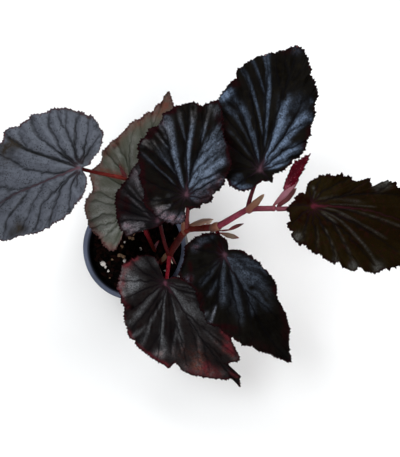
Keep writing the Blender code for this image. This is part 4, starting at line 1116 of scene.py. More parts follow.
LOOKS["leaf_7"] = {
    **NIGHT,
    "fleck": (0.005, 0.005, 0.0038),
    "blush_colour": (0.09, 0.034, 0.042),
    "margin": 2.5,
    # The left lobe's edge runs out to the pot's rim, so that the lobe covers a strip that is only shade; a
    # negative sheen stroke darkens it there as painted shade.
    "edge": (
        (228.4, 249.8), (228.4, 246.8), (227.9, 242.8), (226.4, 239.8), (223, 237.5), (220, 235),
        (216, 233.5), (212, 232.5), (208, 233.5), (205, 233.5), (202, 235), (199.5, 236.5), (195.5, 238.5),
        (191, 241.5), (187.6, 244.5), (186, 247.5), (185.5, 250.5), (185.4, 253.5), (185.2, 257),
        (184.2, 260.5), (183.1, 264), (182.2, 267), (180.9, 270.5), (179.6, 273.5), (181, 276.5),
        (185.5, 280), (189, 284), (192.5, 287), (196.5, 290), (197, 294), (198, 299), (199.5, 303),
        (200.5, 307), (201.5, 311), (204, 312), (205, 316), (206, 320), (208, 323), (212, 324.5),
        (216, 325.5), (220, 327), (222, 330), (225, 333), (229, 335.4), (232, 336.4), (234, 337.9),
        (237, 340.9), (241, 341.9), (243, 344.9), (247, 345), (250, 345), (253, 346), (256, 349),
        (260, 350.5), (264, 352), (268, 353), (272, 354), (275, 356.5), (279, 357.5), (283, 359.5),
        (286, 361.5), (290, 362), (291, 360), (290, 356), (289, 352), (289, 347), (288.5, 343), (289, 340),
        (289, 335), (289.5, 330), (288.5, 325), (287.5, 321), (286.5, 317), (285, 313), (283, 309),
        (281, 305), (279, 302), (277.5, 299), (276.5, 295), (277, 290), (276.5, 286), (275, 283),
        (273.5, 280.3), (271, 277.3), (268.5, 274.8), (268, 272.3), (265.5, 270.3), (263, 268.3),
        (261, 265.5), (260, 263), (257, 261.5), (254, 260), (253, 257.5), (250, 255.5), (247.5, 254.5),
        (245, 252), (242, 250.5), (238, 250), (234, 249.5), (231, 249.5),
    ),
    "veins": (
        ((225, 256), (231, 269), (239, 283), (247, 296), (254, 311), (263, 328), (275, 345), (289, 360)),
        ((224, 256), (221, 266), (219, 280), (218, 293), (216, 303), (212, 313), (208, 323)),
        ((216, 303), (208, 308), (200, 314)),
        ((225, 257), (228.5, 268), (231, 282), (233, 294), (236, 306), (239, 320), (240, 336)),
        ((233, 296), (229, 308), (227, 325)), ((246, 295), (249, 308), (251, 322), (253, 342)),
        ((245, 290), (254, 297), (264, 305), (278, 318)),
        ((223, 257), (215, 266), (208, 275), (200, 283), (193, 288)),
        ((222, 260), (217, 273), (211, 286), (205, 297), (199, 306)),
        ((222, 256), (212, 262), (203, 267), (193, 270)), ((223, 254), (214, 252), (205, 250), (195, 249)),
        ((223, 253), (217, 246), (211, 240), (206, 235)), ((224, 253), (223, 246), (220, 238)),
    ),
    "faint_veins": (
        ((227, 256), (238, 257), (251, 258)), ((229, 262), (242, 262), (258, 266)),
        ((232, 268), (246, 269), (264, 275)), ((236, 277), (251, 279), (270, 287)),
        ((251, 304), (264, 316), (281, 333)), ((261, 324), (272, 332), (287, 345)),
    ),
    "pale_and_sheen": (
        (195, 248, 3.5, 0.45), (200, 240, 3.5, 0.15), (201, 262, 4, -0.3), (205, 301, 3, -0.15),
        (189, 279, 3.5, 0.5), (206, 314, 3, 0.5), (252, 288, 4, -0.22), (190, 278, 4, 0.08),
    ),
    "sheen": (
        (0.26, 2, ((227, 257), (232, 268))), (0.12, 1.8, 1.4, ((232, 268), (235, 280))),
        (0.16, 1.8, ((243, 263), (260, 267))), (0.2, 1.8, ((261, 267), (267, 274))),
        (-0.1, 2, ((256, 282), (267, 303))), (-0.1, 2, ((256, 316), (258, 330))),
        (0.25, 2.4, 8, ((228, 257), (237, 265), (246, 273), (256, 283))),
        (0.19, 2, 4, ((233, 255), (245, 259), (258, 267))),
        (0.25, 1.4, 3.8, ((224.5, 258), (223.5, 270), (223, 285), (223, 304))),
        (0.18, 1.6, 4, ((231, 270), (235, 285), (238, 300), (241, 322))),
        (0.2, 2, 3.6, ((237, 272), (245, 286), (251, 300), (253, 314))),
        (0.1, 2.5, ((233, 292), (236, 306))), (0.08, 4, ((256, 276), (266, 291))),
        (0.09, 9, ((240, 272), (256, 284), (266, 300))), (0.05, 8, ((228, 282), (236, 312))),
        # Painted shade along the left lobe's outer strip beside the pot.
        (-0.4, 2.4, 2, ((187.5, 249), (185.5, 258), (184, 265), (181.5, 273))),
        (0.15, 3, 4, ((250, 289), (260, 298), (268, 308))),
        (1.2, 1.2, 2.2, ((216, 306), (213, 314), (210, 322))),
        (0.17, 2, 3, ((218, 262), (210, 274), (201, 284))),
        (0.16, 2, 3, ((219, 280), (212, 290), (208, 295))),
        (0.25, 2.5, 3, ((196, 248), (203, 241), (212, 237))),
    ),
    "blush": ((190, 279, 7, 1), (196, 246, 8, 0.7), (228, 245, 5, 0.7)),
    "ash": ((210, 312, 14, 0.6), (226, 330, 14, 0.8)),
    "crimson": (
        (0.9, 2.5, ((190, 262), (191, 272), (190, 286))), (0.8, 3.5, ((199, 292), (202, 308))),
        (0.85, 4, ((220, 326), (230, 328), (238, 330))), (0.7, 3, ((274, 284), (275, 292))),
        (0.7, 3.5, 4.5, ((281, 303), (286, 322), (286, 344))), (0.5, 5, ((250, 342), (272, 350))),
        (0.8, 3.5, ((222, 240), (220, 250), (222, 258))), (0.5, 3, ((204, 247), (212, 245))),
    ),
}
LOOKS["leaf_8"] = {
    **NIGHT,
    "dark": (0.006, 0.005, 0.0052),
    "dark_2": (0.011, 0.0085, 0.0082),
    "pale_and_sheen_colour": (0.108, 0.112, 0.12),
    "blush_colour": (0.145, 0.058, 0.045),
    "stain_colour": (0.1, 0.016, 0.021),
    "margin_colour": (0.03, 0.004, 0.006),
    "rosy_colour": (0.088, 0.03, 0.046),
    "rosy_rib": 8.0,
    "tint": (0.95, 0.97, 1.0),
    "edge": (
        (160, 271), (159, 265), (157, 260), (154, 257), (150, 256.5), (146, 255.5), (142, 256), (138, 256),
        (135, 258), (131, 259), (129, 261), (126, 263), (123, 266), (122, 270), (121.5, 274), (119.5, 277),
        (119, 281), (118, 284), (117, 288), (118.5, 290), (120, 293), (121.5, 296), (121.5, 300),
        (123, 303), (125, 305), (125, 308), (124.5, 312), (124, 316), (125, 320), (125.5, 324),
        (127.5, 327), (128, 331), (129, 334), (131, 337), (133, 339), (136, 340), (136, 343), (138, 346),
        (141, 349), (143, 351), (146, 353.5), (149, 355), (152, 357.5), (156, 359.5), (159, 361.5),
        (162, 363), (165, 364.5), (167, 366.5), (169, 368), (170, 367.2), (172, 365.6), (173.4, 363.8),
        (175, 362.6), (177.3, 364), (180, 366.8), (183, 370.2), (186, 371.5), (189, 373), (192, 374.5),
        (196, 375), (200, 375.5), (204, 377), (208, 377), (212, 378), (216, 378.5), (220, 378.5),
        (224, 379), (228.4, 378.3), (231.4, 378.3), (234.4, 380.3), (237.4, 383.3), (240, 387),
        (239.5, 383), (239.5, 379), (239.5, 376), (236.4, 375.3), (232.4, 372.3), (228.4, 368.8),
        (225.4, 366.3), (228, 363.5), (230, 362), (234, 361.5), (237, 361.5), (239, 360), (238.8, 356),
        (236.8, 353), (235.8, 350), (235.3, 348), (232.8, 345), (231.8, 341), (231.3, 337), (229, 334),
        (226, 327), (224, 318), (220, 309), (215, 301), (208, 294), (200, 288), (193, 284), (187, 281),
        (182, 278.5), (178, 277), (173, 277), (169, 278.5), (166, 279), (163, 276),
    ),
    "veins": (
        ((166, 284), (174, 295), (184, 311), (194, 327), (204, 342), (215, 356), (226, 370), (239, 384)),
        ((185, 312), (200, 325), (215, 337), (230, 350), (237, 357)), ((203, 341), (213, 347), (222, 356)),
        ((167, 287), (171, 298), (174, 312), (177, 325), (181, 338), (184, 350), (187, 366)),
        ((176, 324), (173, 338), (171, 354)), ((187, 316), (192, 330), (196, 343), (198, 358), (199, 371)),
        ((166, 288), (163.5, 297), (162, 310), (161, 325), (160, 340), (158, 358)),
        ((163, 296), (157, 306), (150, 316), (146, 328), (142, 343)),
        ((162, 285), (152, 293), (143, 301), (134, 308), (125, 314)),
        ((163, 288), (156, 299), (148, 311), (139, 321), (130, 331)),
        ((161, 283), (148, 288), (135, 294), (124, 299)), ((160, 281), (148, 281), (137, 281), (122, 281)),
        ((161, 280), (152, 277), (143, 272), (136, 266), (131, 260)),
        ((163, 279), (156, 272), (150, 264), (146, 257)), ((169, 283), (178, 286), (188, 288), (197, 289)),
        ((170, 285), (178, 290), (188, 292), (200, 296)), ((160, 334), (154, 342), (148, 352)),
        ((204, 342), (206, 355), (210, 373)),
    ),
    "pale_and_sheen": (
        (162, 353, 4.5, 0.9), (140, 264, 6, 0.35), (126, 273, 7, 0.5), (120, 281, 4, 0.25),
        (124, 293, 3.5, 0.5), (134, 280, 3.5, 0.2), (150, 262, 5, 0.1), (157, 259, 4, 0.1),
        (205, 340, 16, 0.06), (199, 368, 6, 0.9), (211, 373, 5, 0.6), (132, 285, 6, 0.3),
        (186, 366, 5, 0.35), (224, 372, 5, 0.3), (175, 354, 7, 0.16), (196, 354, 9, 0.14),
        (200, 360, 5, 0.25), (119, 285, 5, 1.2), (122, 295, 4, 1), (122, 267, 4, 0.4), (158, 354, 4, 0.9),
        (158, 262, 4, 0.25), (122, 276, 2.5, 1.1), (119, 284, 2.5, 0.8), (127, 276, 5, 0.3),
        (130, 292, 4, 0.25), (128, 270, 3, 0.3), (180, 336, 3, 0.2), (198, 364, 4, 0.25),
        (193, 307, 4, 0.12), (228, 344, 4, 0.25), (235, 358, 3.5, 0.45),
    ),
    "sheen": (
        (0.15, 2, ((133, 288), (133, 298))), (0.3, 2, 1.8, ((170, 284), (177, 293))),
        (0.2, 1.5, ((177, 293), (182, 308), (178, 322), (184, 342))),
        (0.12, 1.5, 1.4, ((184, 306), (190, 320), (196, 330))),
        (0.18, 1.5, ((172, 285), (185, 286), (198, 288))), (0.22, 1.5, 1.4, ((184, 293), (196, 297))),
        (0.1, 1.4, ((194, 303), (201, 312))), (0.28, 2, ((207, 319), (216, 321))),
        (0.12, 1.8, ((206, 330), (225, 342))), (0.17, 1.4, 1.2, ((164, 291), (161, 304))),
        (0.15, 1.4, ((138, 330), (133, 337))), (0.1, 1.4, ((152, 318), (148, 335))),
        (0.22, 1.6, 1.4, ((142, 312), (137, 315))), (-0.18, 1.6, ((133, 316), (129, 320))),
        (0.3, 1.6, ((198, 361), (199, 372))), (0.95, 8, 6, ((128, 283), (140, 283))),
        (0.3, 2, 4, ((160, 287), (149, 300), (140, 312), (129, 324))),
        (0.33, 1.4, 3, ((162, 302), (153, 318), (147, 332), (141, 346))),
        (0.3, 1.5, 2, ((147, 325), (139, 333), (132, 337))),
        (0.62, 1.1, 2.3, ((166, 290), (164, 300), (163.5, 314), (162, 330), (161, 345))),
        (0.56, 1.1, 2, ((171, 297), (175, 311), (178, 325), (181, 340), (184, 352))),
        (-0.2, 0.8, 1.4, ((168, 292), (169.5, 306), (171, 322), (171, 340))),
        (-0.2, 0.8, 1.4, ((158, 300), (154, 312), (151, 330))),
        (0.33, 2, 6.5, ((171, 287), (180, 297), (188, 308), (196, 320))),
        (0.27, 1.5, 2, ((176, 330), (174, 342), (173, 354))),
        (0.27, 1.5, 2.5, ((198, 330), (199, 345), (198, 362))),
        (0.24, 1.5, 2, ((204, 330), (214, 340), (224, 350), (234, 358))),
        (0.18, 2, 3, ((172, 284), (184, 287), (196, 292))), (-0.5, 3, ((126, 305), (134, 308))),
        (0.16, 3, ((176, 312), (178, 320), (181, 332))), (0.1, 9, ((178, 296), (190, 312))),
        (0.28, 3, ((163, 336), (166, 351))), (-0.25, 1.5, ((157, 304), (158, 314))),
        (0.13, 4, ((188, 300), (196, 310), (206, 320), (212, 326))),
    ),
    "blush": (
        (198, 362, 15, 0.9), (214, 368, 14, 1), (225, 352, 10, 0.8), (180, 355, 9, 0.5),
        (123, 268, 9, 0.35), (119, 288, 10, 0.4), (192, 348, 9, 0.6), (222, 336, 8, 0.8),
        (235, 358, 5, 0.5), (146, 352, 7, 0.6), (160, 354, 6, 0.35),
    ),
    "stain": ((206, 367, 5, 1), (228, 347, 5, 1), (128, 265, 4, 1), (118, 288, 3.5, 0.5)),
    "crimson": (
        (0.4, 2.5, ((119, 277), (119, 284))), (0.6, 2.5, ((120, 292), (123, 300))),
        (0.6, 2.2, ((125, 272), (122, 288))), (0.8, 2.5, ((124, 265), (131, 260), (139, 258))),
        (0.5, 2.5, ((128, 330), (135, 343), (146, 353))), (0.9, 3, ((147, 354), (156, 359))),
        (0.7, 2.5, ((156, 360), (163, 362), (169, 366))), (0.7, 2.5, ((232, 344), (228, 338), (222, 330))),
        (0.6, 2, ((230, 373), (238, 377))), (0.45, 3, ((188, 369), (200, 373), (222, 376))),
        (0.25, 3, ((125, 303), (129, 308))), (0.4, 2, ((120, 288), (121, 295))),
        (0.5, 3, ((230, 350), (236, 356))), (0.3, 4, ((208, 366), (220, 371))),
    ),
}

YOUNG_BLADE = Blade((151, 37, 221), 54.5, 34, 15, 0.45, 0.7, 0.7, 0.3)
YOUNG_LOOK = {
    **NIGHT,
    "slot": "stem",
    "dark": (0.034, 0.0008, 0.003),
    "dark_2": (0.06, 0.0014, 0.006),
    "fleck": (0.025, 0.0006, 0.0022),
    "pale_and_sheen_colour": (0.2, 0.05, 0.08),
    "margin_colour": (0.03, 0.0015, 0.003),
    "margin": 1.2,
    "hem_colour": (0.03, 0.0008, 0.003),
    "vein_line_and_shade_colour": (0.015, 0.001, 0.002),
    "rosy_colour": (0.22, 0.03, 0.05),
    "specular": 0.02,
    "tint": (1.0, 0.9, 0.92),
    # Painted glints: pale pink specks standing in for highlights.
    "painted_glints": ((0.34, 0.1, 0.14), 0.75),
    "bulge": 0.5,
    "ruffle": 0.2,
    "edge": (
        (283.7, 186), (285.5, 181), (288, 175.5), (291, 169.5), (293, 165), (294.5, 162.8), (297, 161.5),
        (300, 160.3), (302, 158.5), (304.5, 157), (307, 155.8), (310.3, 154), (308, 157.5), (306, 160.5),
        (306.3, 162.5), (304.5, 164), (305, 165.5), (303.3, 167.5), (303.5, 169.5), (301.5, 171.5),
        (301.8, 173.5), (299.5, 175.5), (299, 177.5), (297, 179.5), (296, 182), (292, 186), (288, 189.5),
        (285, 190.5), (283, 188.5),
    ),
    "veins": (
        ((285, 187), (291, 178), (298, 169), (304, 161), (310, 154.5)), ((288, 183), (291, 175)),
        ((291, 178), (294, 170)), ((295, 173), (297, 165)), ((288, 183), (294, 181)),
        ((292, 177), (299, 175)), ((297, 170), (303, 168)),
    ),
    "pale_and_sheen": ((287, 187, 3.5, 0.5), (286, 184, 3, 0.3)),
}

# Stems, petioles and stipules.


def bezier(start, first, second, end, steps):
    """Places along a curve from start to end that leaves towards first and arrives from second."""
    share = np.linspace(0.0, 1.0, steps)[:, None]
    rest = 1.0 - share
    start, first, second, end = (np.array(place, float) for place in (start, first, second, end))
    near = start * rest**3 + first * (3.0 * rest**2 * share)
    return near + second * (3.0 * rest * share**2) + end * share**3


def eased(route):
    """The route's points with its corners cut twice, so that it turns smoothly."""
    route = np.array(route, float)
    for cut in (0.09, 0.25):
        inner = [route[:1]]
        for before, after in zip(route, route[1:]):
            inner.append(np.stack([before + (after - before) * cut, after + (before - after) * cut]))
        route = np.concatenate(inner + [route[-1:]])
    return route


def evenly(route, spacing):
    """The route again with its places evenly spaced, and how far along it each one lies."""
    steps = np.linalg.norm(np.diff(route[:, :3], axis=0), axis=1)
    walked = np.concatenate([[0.0], np.cumsum(steps)])
    wanted = np.linspace(0.0, walked[-1], max(8, round(walked[-1] / spacing)))
    return np.stack([np.interp(wanted, walked, route[:, k]) for k in range(route.shape[1])], 1), wanted


def carried_frames(points):
    """Two directions square to the path at each point, turning as little as they can."""
    ahead = np.gradient(points, axis=0)
    ahead /= np.linalg.norm(ahead, axis=1)[:, None]
    side = np.cross(ahead[0], (0.0, 0.3, 1.0))
    sides = []
    for direction in ahead:
        side = side - direction * side.dot(direction)
        side /= np.linalg.norm(side)
        sides.append(side)
    sides = np.array(sides)
    return sides, np.cross(ahead, sides)


def grid_faces(rings, count, closed=True):
    """Squares between rings of points; closed joins the last point of each ring to its first."""
    i = np.arange(count if closed else count - 1)
    j = (i + 1) % count
    start = count * np.arange(rings - 1)[:, None]
    quads = np.stack([start + i, start + j, start + count + j, start + count + i], -1)
    return quads.reshape(-1, 4).tolist()


def add_stalk(name, node, route, skin, swellings, seed, sides=30):
    """A round stalk of (x, y, z, radius) places; a swelling is (x, y, z, how far it stands out)."""
    path, along = evenly(route, STALK_STEP)
    points, radii = path[:, :3], path[:, 3].copy()
    for x, y, z, out in swellings:
        at = along[np.linalg.norm(points - (x, y, z), axis=1).argmin()]
        radii += out * bell(along - at, 2.4)
        radii -= 0.18 * bell(along - at - 1.2, 0.35)
    ends = np.clip(np.minimum(along, along[-1] - along) / radii + 0.02, 0.0, 1.0)
    radii *= np.sqrt(ends * (2.0 - ends))
    turn = np.arange(sides) * math.tau / sides
    draw = np.random.default_rng(seed)
    ridges = np.zeros((len(along), sides))
    for k in (3, 5, 8, 11):
        depth, phase, twist = draw.uniform(0.3, 1.0), draw.uniform(0, 6), draw.uniform(-0.05, 0.05)
        ridges += depth * np.sin(k * turn[None, :] + phase + along[:, None] * twist)
    lumps = 0.4 * np.sin(along * 0.9 + seed)[:, None] + 0.3 * np.sin(along * 0.37 + 2.0 * seed)[:, None]
    radius = radii[:, None] * (1.0 + 0.016 * ridges + 0.02 * lumps)
    side, up = carried_frames(points)
    around = side[:, None, :] * np.cos(turn)[None, :, None] + up[:, None, :] * np.sin(turn)[None, :, None]
    places = points[:, None, :] + around * radius[..., None]
    faces = grid_faces(len(points), sides)
    last = len(points) * sides
    faces += [(last, (i + 1) % sides, i) for i in range(sides)]
    faces += [(last + 1, last - sides + i, last - sides + (i + 1) % sides) for i in range(sides)]
    piece = add_mesh(name, np.concatenate([places.reshape(-1, 3), points[:1], points[-1:]]), faces)
    share = np.concatenate([np.repeat(along / along[-1], sides), [0.0, 1.0]])
    add_values(piece, "share", share)
    height = along[:, None] * 0.12
    skin_place = np.stack(np.broadcast_arrays(np.cos(turn)[None, :], np.sin(turn)[None, :], height), -1)
    ends_place = [[0, 0, 0], [0, 0, along[-1] * 0.12]]
    add_vectors(piece, "skin", np.concatenate([skin_place.reshape(-1, 3), ends_place]))
    piece.data.materials.append(skin)
    return stand_for(piece, node)


def husk_size(form, share):
    """How wide a husk of that form is, from its base at 0 to its tip at 1."""
    if form == "petal":
        size = (share + 0.1) ** 0.3 * (1.0 - share) ** 0.62
    elif form == "leaf":
        size = np.sin(math.pi * (0.05 + 0.95 * share**1.15)) ** 0.8
    elif form == "sheath":
        size = 0.82 + 0.25 * np.sin(share * 2.6) - 0.12 * share**6
    else:
        size = np.sin(math.pi * np.clip(share * 0.93 + 0.07, 0.0, 1.0)) ** 0.8
    return np.maximum(size / size.max(), 0.015)


def add_husk(name, node, start, end, width, depth, arch, skin, facing, wrap, form, seed):
    """A papery husk from start to end, rounded towards facing and open behind; a bud closes up."""
    start, end = Vector(start), Vector(end)
    ahead = (end - start).normalized()
    up = Vector(facing)
    up = (up - ahead * up.dot(ahead)).normalized()
    side = ahead.cross(up)
    rings, count = 44, 30
    share = np.linspace(0.0, 1.0, rings)
    size = husk_size(form, share)
    draw = np.random.default_rng(seed + 300)
    half = math.radians((359.0 if form == "bud" else wrap) / 2.0)
    turn = np.linspace(-half, half, count)
    frill = 1.0 + 0.05 * np.sin(share[:, None] * 19.0 + seed) * (np.abs(turn)[None, :] / half) ** 2
    frill += 0.03 * np.sin(turn[None, :] * 7.0 + share[:, None] * 3.0 + seed)
    out = np.cos(turn)[None, :] * depth / 2.0 * size[:, None] * frill
    across = np.sin(turn)[None, :] * width / 2.0 * size[:, None] * frill
    lean = draw.uniform(-0.5, 0.5) * np.sin(share * math.pi)
    centre = np.array(start)[None, :] + np.array(end - start)[None, :] * share[:, None]
    centre = centre + np.array(up) * (arch * 4.0 * share * (1.0 - share))[:, None]
    centre = centre + np.array(side) * lean[:, None]
    outer = centre[:, None, :] + np.array(up) * out[..., None] + np.array(side) * across[..., None]
    toward = centre[:, None, :] - outer
    reach = np.maximum(np.linalg.norm(toward, axis=-1, keepdims=True), 1e-6)
    inner = outer + toward / reach * np.minimum(HUSK_THICK, reach * 0.6)
    total = rings * count
    faces = grid_faces(rings, count, closed=False)
    faces += [tuple(total + v for v in reversed(face)) for face in faces]
    loop = list(range(count))
    loop += [ring * count + count - 1 for ring in range(1, rings)]
    loop += [(rings - 1) * count + k for k in range(count - 2, -1, -1)]
    loop += [ring * count for ring in range(rings - 2, 0, -1)]
    for a, b in zip(loop, loop[1:] + loop[:1]):
        faces.append((b, a, total + a, total + b))
    piece = add_mesh(name, np.concatenate([outer.reshape(-1, 3), inner.reshape(-1, 3)]), faces)
    fix_normals(piece)
    add_values(piece, "share", np.tile(np.repeat(share, count), 2))
    rim = 1.0 - (np.abs(turn) / half)
    add_values(piece, "rim", np.tile(np.tile(rim, rings), 2) * np.tile(np.repeat(1.0 - share, count), 2))
    skin_place = np.stack(np.broadcast_arrays(turn[None, :] * 1.5, share[:, None] * 0.8, 0.0), -1)
    add_vectors(piece, "skin", np.tile(skin_place.reshape(-1, 3), (2, 1)))
    piece.data.materials.append(skin)
    return stand_for(piece, node)


def stalk_skin(name, stops):
    """Smooth fleshy skin: colours along the stalk, streaks along it and pale specks."""
    shader = Shader(name, roughness=0.36)
    colour = shader.gradient(shader.attribute("share"), stops)
    streak = shader.noise(2.6, 5.0, 0.6, shader.vector("skin"))
    colour = shader.mix(shader.ramp(streak, 0.42, 0.75, 0.0, 0.7), colour, (1.5, 1.6, 1.6), "MULTIPLY")
    colour = shader.mix(shader.ramp(streak, 0.28, 0.50, 0.8, 0.0), colour, (0.35, 0.22, 0.25), "MULTIPLY")
    specks = shader.ramp(shader.cells(420.0), 0.10, 0.24, 0.22, 0.0)
    colour = shader.mix(specks, colour, (0.20, 0.065, 0.055))
    shader.set("Base Color", colour)
    fine = shader.noise(600.0, 3.0)
    shader.set("Roughness", shader.ramp(fine, 0.3, 0.7, 0.36, 0.5))
    shader.set("Specular IOR Level", 0.02)
    height = shader.plus(shader.times(streak, 0.8), shader.times(fine, 0.3))
    shader.set("Normal", shader.bump(height, 0.5, 0.0005))
    return shader.material


def husk_skin(name, stops, edge):
    """Papery skin: colours from base to tip, fine lines along it and a thin coloured edge."""
    shader = Shader(name, roughness=0.5)
    colour = shader.gradient(shader.attribute("share"), stops)
    lines = shader.noise(5.0, 5.0, 0.65, shader.vector("skin"))
    colour = shader.mix(shader.ramp(lines, 0.3, 0.7, 0.45, 0.0), colour, (0.07, 0.025, 0.012))
    colour = shader.mix(shader.ramp(shader.attribute("rim"), 0.02, 0.16, 0.8, 0.0), colour, edge)
    shader.set("Base Color", colour)
    shader.set("Specular IOR Level", 0.2)
    shader.set("Subsurface Weight", 0.15)
    shader.set("Subsurface Radius", (0.004, 0.002, 0.001))
    shader.set("Normal", shader.bump(lines, 0.6, 0.0005))
    return shader.material


# How far apart the rings of a stalk are.
STALK_STEP = 0.6
# The stems' places, each with its radius. From the third one on, the main stem's are its nodes.
MAIN_STEM = (
    (25.0, -15.5, 66.0, 3.4),
    (26.0, -15.0, 80.0, 3.3),
    (39.0, -7.0, 105.0, 3.2),
    (61.3, 15.8, 142.0, 3.4),
    (92.0, 14.4, 170.0, 3.0),
    (121.0, 28.0, 198.0, 2.35),
    (144.0, 26.6, 215.0, 2.15),
)
MAIN_COLOURS = (
    (0.0, (0.040, 0.008, 0.005)),
    (0.20, (0.052, 0.006, 0.005)),
    (0.38, (0.030, 0.004, 0.004)),
    (0.44, (0.105, 0.012, 0.009)),
    (0.60, (0.135, 0.020, 0.014)),
    (0.64, (0.150, 0.022, 0.038)),
    (0.80, (0.170, 0.030, 0.052)),
    (0.88, (0.090, 0.018, 0.026)),
    (1.0, (0.140, 0.036, 0.050)),
)
SIDE_STEM = (
    (20.0, -6.0, 66.0, 1.9),
    (19.0, -3.0, 80.0, 1.9),
    (17.0, 13.0, 112.0, 1.8),
    (13.5, 37.0, 136.0, 1.6),
    (8.0, 61.0, 152.0, 1.5),
)
CRIMSON = (0.085, 0.006, 0.009)
WINE = (0.055, 0.010, 0.014)
# Where each petiole leaves its stem, its direction there, how far below the blade it turns up, its
# radius, and its colours from the stem to the blade.
PETIOLES = {
    "leaf_1": ((8, 61, 152), (-16, 2, 16), 10, 1.9, ((0.110, 0.016, 0.012), (0.048, 0.004, 0.005))),
    "leaf_2": ((18.5, 1, 88), (-4, 14, 8), 12, 1.6, ((0.045, 0.004, 0.006), (0.060, 0.005, 0.009))),
    "leaf_3": ((39, -6.5, 106), (-2, 6, 24), 16, 1.9, ((0.050, 0.004, 0.005), (0.028, 0.003, 0.005))),
    "leaf_4": ((62.2, 15.2, 142), (2.6, 6, 26), 22, 1.9, ((0.150, 0.034, 0.036), (0.060, 0.006, 0.008))),
    "leaf_5": ((121, 28, 198), (2, 12, 5), 10, 1.8, (WINE, (0.080, 0.014, 0.022))),
    "leaf_6": ((144, 26.2, 215), (12, -0.5, 2), 10, 1.9, ((0.100, 0.028, 0.038), (0.150, 0.054, 0.068))),
    "leaf_7": ((92, 13.2, 170), (3, -10, -6), 8, 1.7, (CRIMSON, WINE)),
    "leaf_8": ((39, -7, 105), (-1, -12, 2), 9, 2.1, ((0.130, 0.008, 0.014), (0.210, 0.010, 0.020))),
}
SIDE_PETIOLES = ("leaf_1", "leaf_2")
# How far a petiole ends below the underside of its blade's base.
PETIOLE_GAP = 0.2


def build_stems():
    """The two stems with a knot at each node, and a petiole to each blade."""
    main = stalk_skin("main_stem_skin", MAIN_COLOURS)
    knots = [(*place[:3], 0.55) for place in MAIN_STEM[2:]]
    add_stalk("main_stem_stalk", "main_stem", eased(MAIN_STEM), main, knots, 1)
    side = stalk_skin("side_stem_skin", ((0.0, (0.10, 0.02, 0.012)), (0.4, CRIMSON), (1.0, WINE)))
    knots = [(17, 13, 112, 0.3)]
    add_stalk("side_stem_stalk", "side_stem", eased(SIDE_STEM), side, knots, 2)
    for seed, (leaf, (start, direction, approach, radius, colours)) in enumerate(PETIOLES.items()):
        blade = BLADES[leaf]
        slope = (blade.rise - blade.back) / 2.0
        normal = Vector((-slope * math.cos(blade.heading), -slope * math.sin(blade.heading), 1.0))
        normal.normalize()
        end = blade.base - normal * (BLADE_THICK / 2.0 + PETIOLE_GAP)
        begin = Vector(start)
        path = bezier(begin, begin + Vector(direction), end - normal * approach, end, 60)
        share = np.linspace(0.0, 1.0, len(path))
        radii = radius * (0.85 + 0.25 * (1.0 - share) ** 3 + 0.25 * share**8)
        skin = stalk_skin(leaf + "_petiole_skin", ((0.0, colours[0]), (1.0, colours[1])))
        node = "side_stem" if leaf in SIDE_PETIOLES else "main_stem"
        add_stalk(leaf + "_petiole", node, np.column_stack([path, radii]), skin, (), seed + 5, 26)


# How thick a husk is.
HUSK_THICK = 0.22
# Each skin's colours from base to tip, and the colour of its edge.
HUSK_SKINS = {
    "tan_husk": (
        (
            (0.0, (0.24, 0.090, 0.056)),
            (0.25, (0.33, 0.175, 0.110)),
            (0.8, (0.34, 0.210, 0.155)),
            (1.0, (0.20, 0.15, 0.13)),
        ),
        (0.36, 0.24, 0.19),
    ),
    "orange_husk": (
        ((0.0, (0.12, 0.035, 0.022)), (0.5, (0.18, 0.066, 0.038)), (1.0, (0.19, 0.080, 0.050))),
        (0.24, 0.12, 0.08),
    ),
    "green_husk": (
        (
            (0.0, (0.14, 0.02, 0.018)),
            (0.3, (0.13, 0.075, 0.05)),
            (0.7, (0.13, 0.10, 0.07)),
            (1.0, (0.10, 0.03, 0.035)),
        ),
        (0.16, 0.04, 0.045),
    ),
    "tipped_husk": (
        (
            (0.0, (0.16, 0.035, 0.035)),
            (0.3, (0.16, 0.065, 0.04)),
            (0.72, (0.19, 0.10, 0.065)),
            (0.86, (0.10, 0.07, 0.04)),
            (1.0, (0.02, 0.025, 0.012)),
        ),
        (0.22, 0.12, 0.08),
    ),
    "rose_husk": (
        (
            (0.0, (0.16, 0.040, 0.050)),
            (0.5, (0.22, 0.090, 0.125)),
            (0.9, (0.18, 0.060, 0.075)),
            (1.0, (0.07, 0.02, 0.03)),
        ),
        (0.12, 0.012, 0.022),
    ),
    "lobe_husk": (
        ((0.0, (0.10, 0.010, 0.020)), (0.5, (0.11, 0.018, 0.026)), (1.0, (0.08, 0.020, 0.024))),
        (0.15, 0.06, 0.05),
    ),
    "red_bud": (
        (
            (0.0, (0.12, 0.010, 0.014)),
            (0.4, (0.09, 0.006, 0.014)),
            (0.85, (0.04, 0.004, 0.008)),
            (1.0, (0.02, 0.025, 0.015)),
        ),
        (0.08, 0.008, 0.014),
    ),
    "pale_husk": (((0.0, (0.20, 0.08, 0.05)), (1.0, (0.55, 0.45, 0.36))), (0.6, 0.5, 0.4)),
    "olive_husk": (((0.0, (0.08, 0.035, 0.018)), (1.0, (0.06, 0.045, 0.025))), (0.09, 0.05, 0.03)),
}
UP = (0, 0, 1)
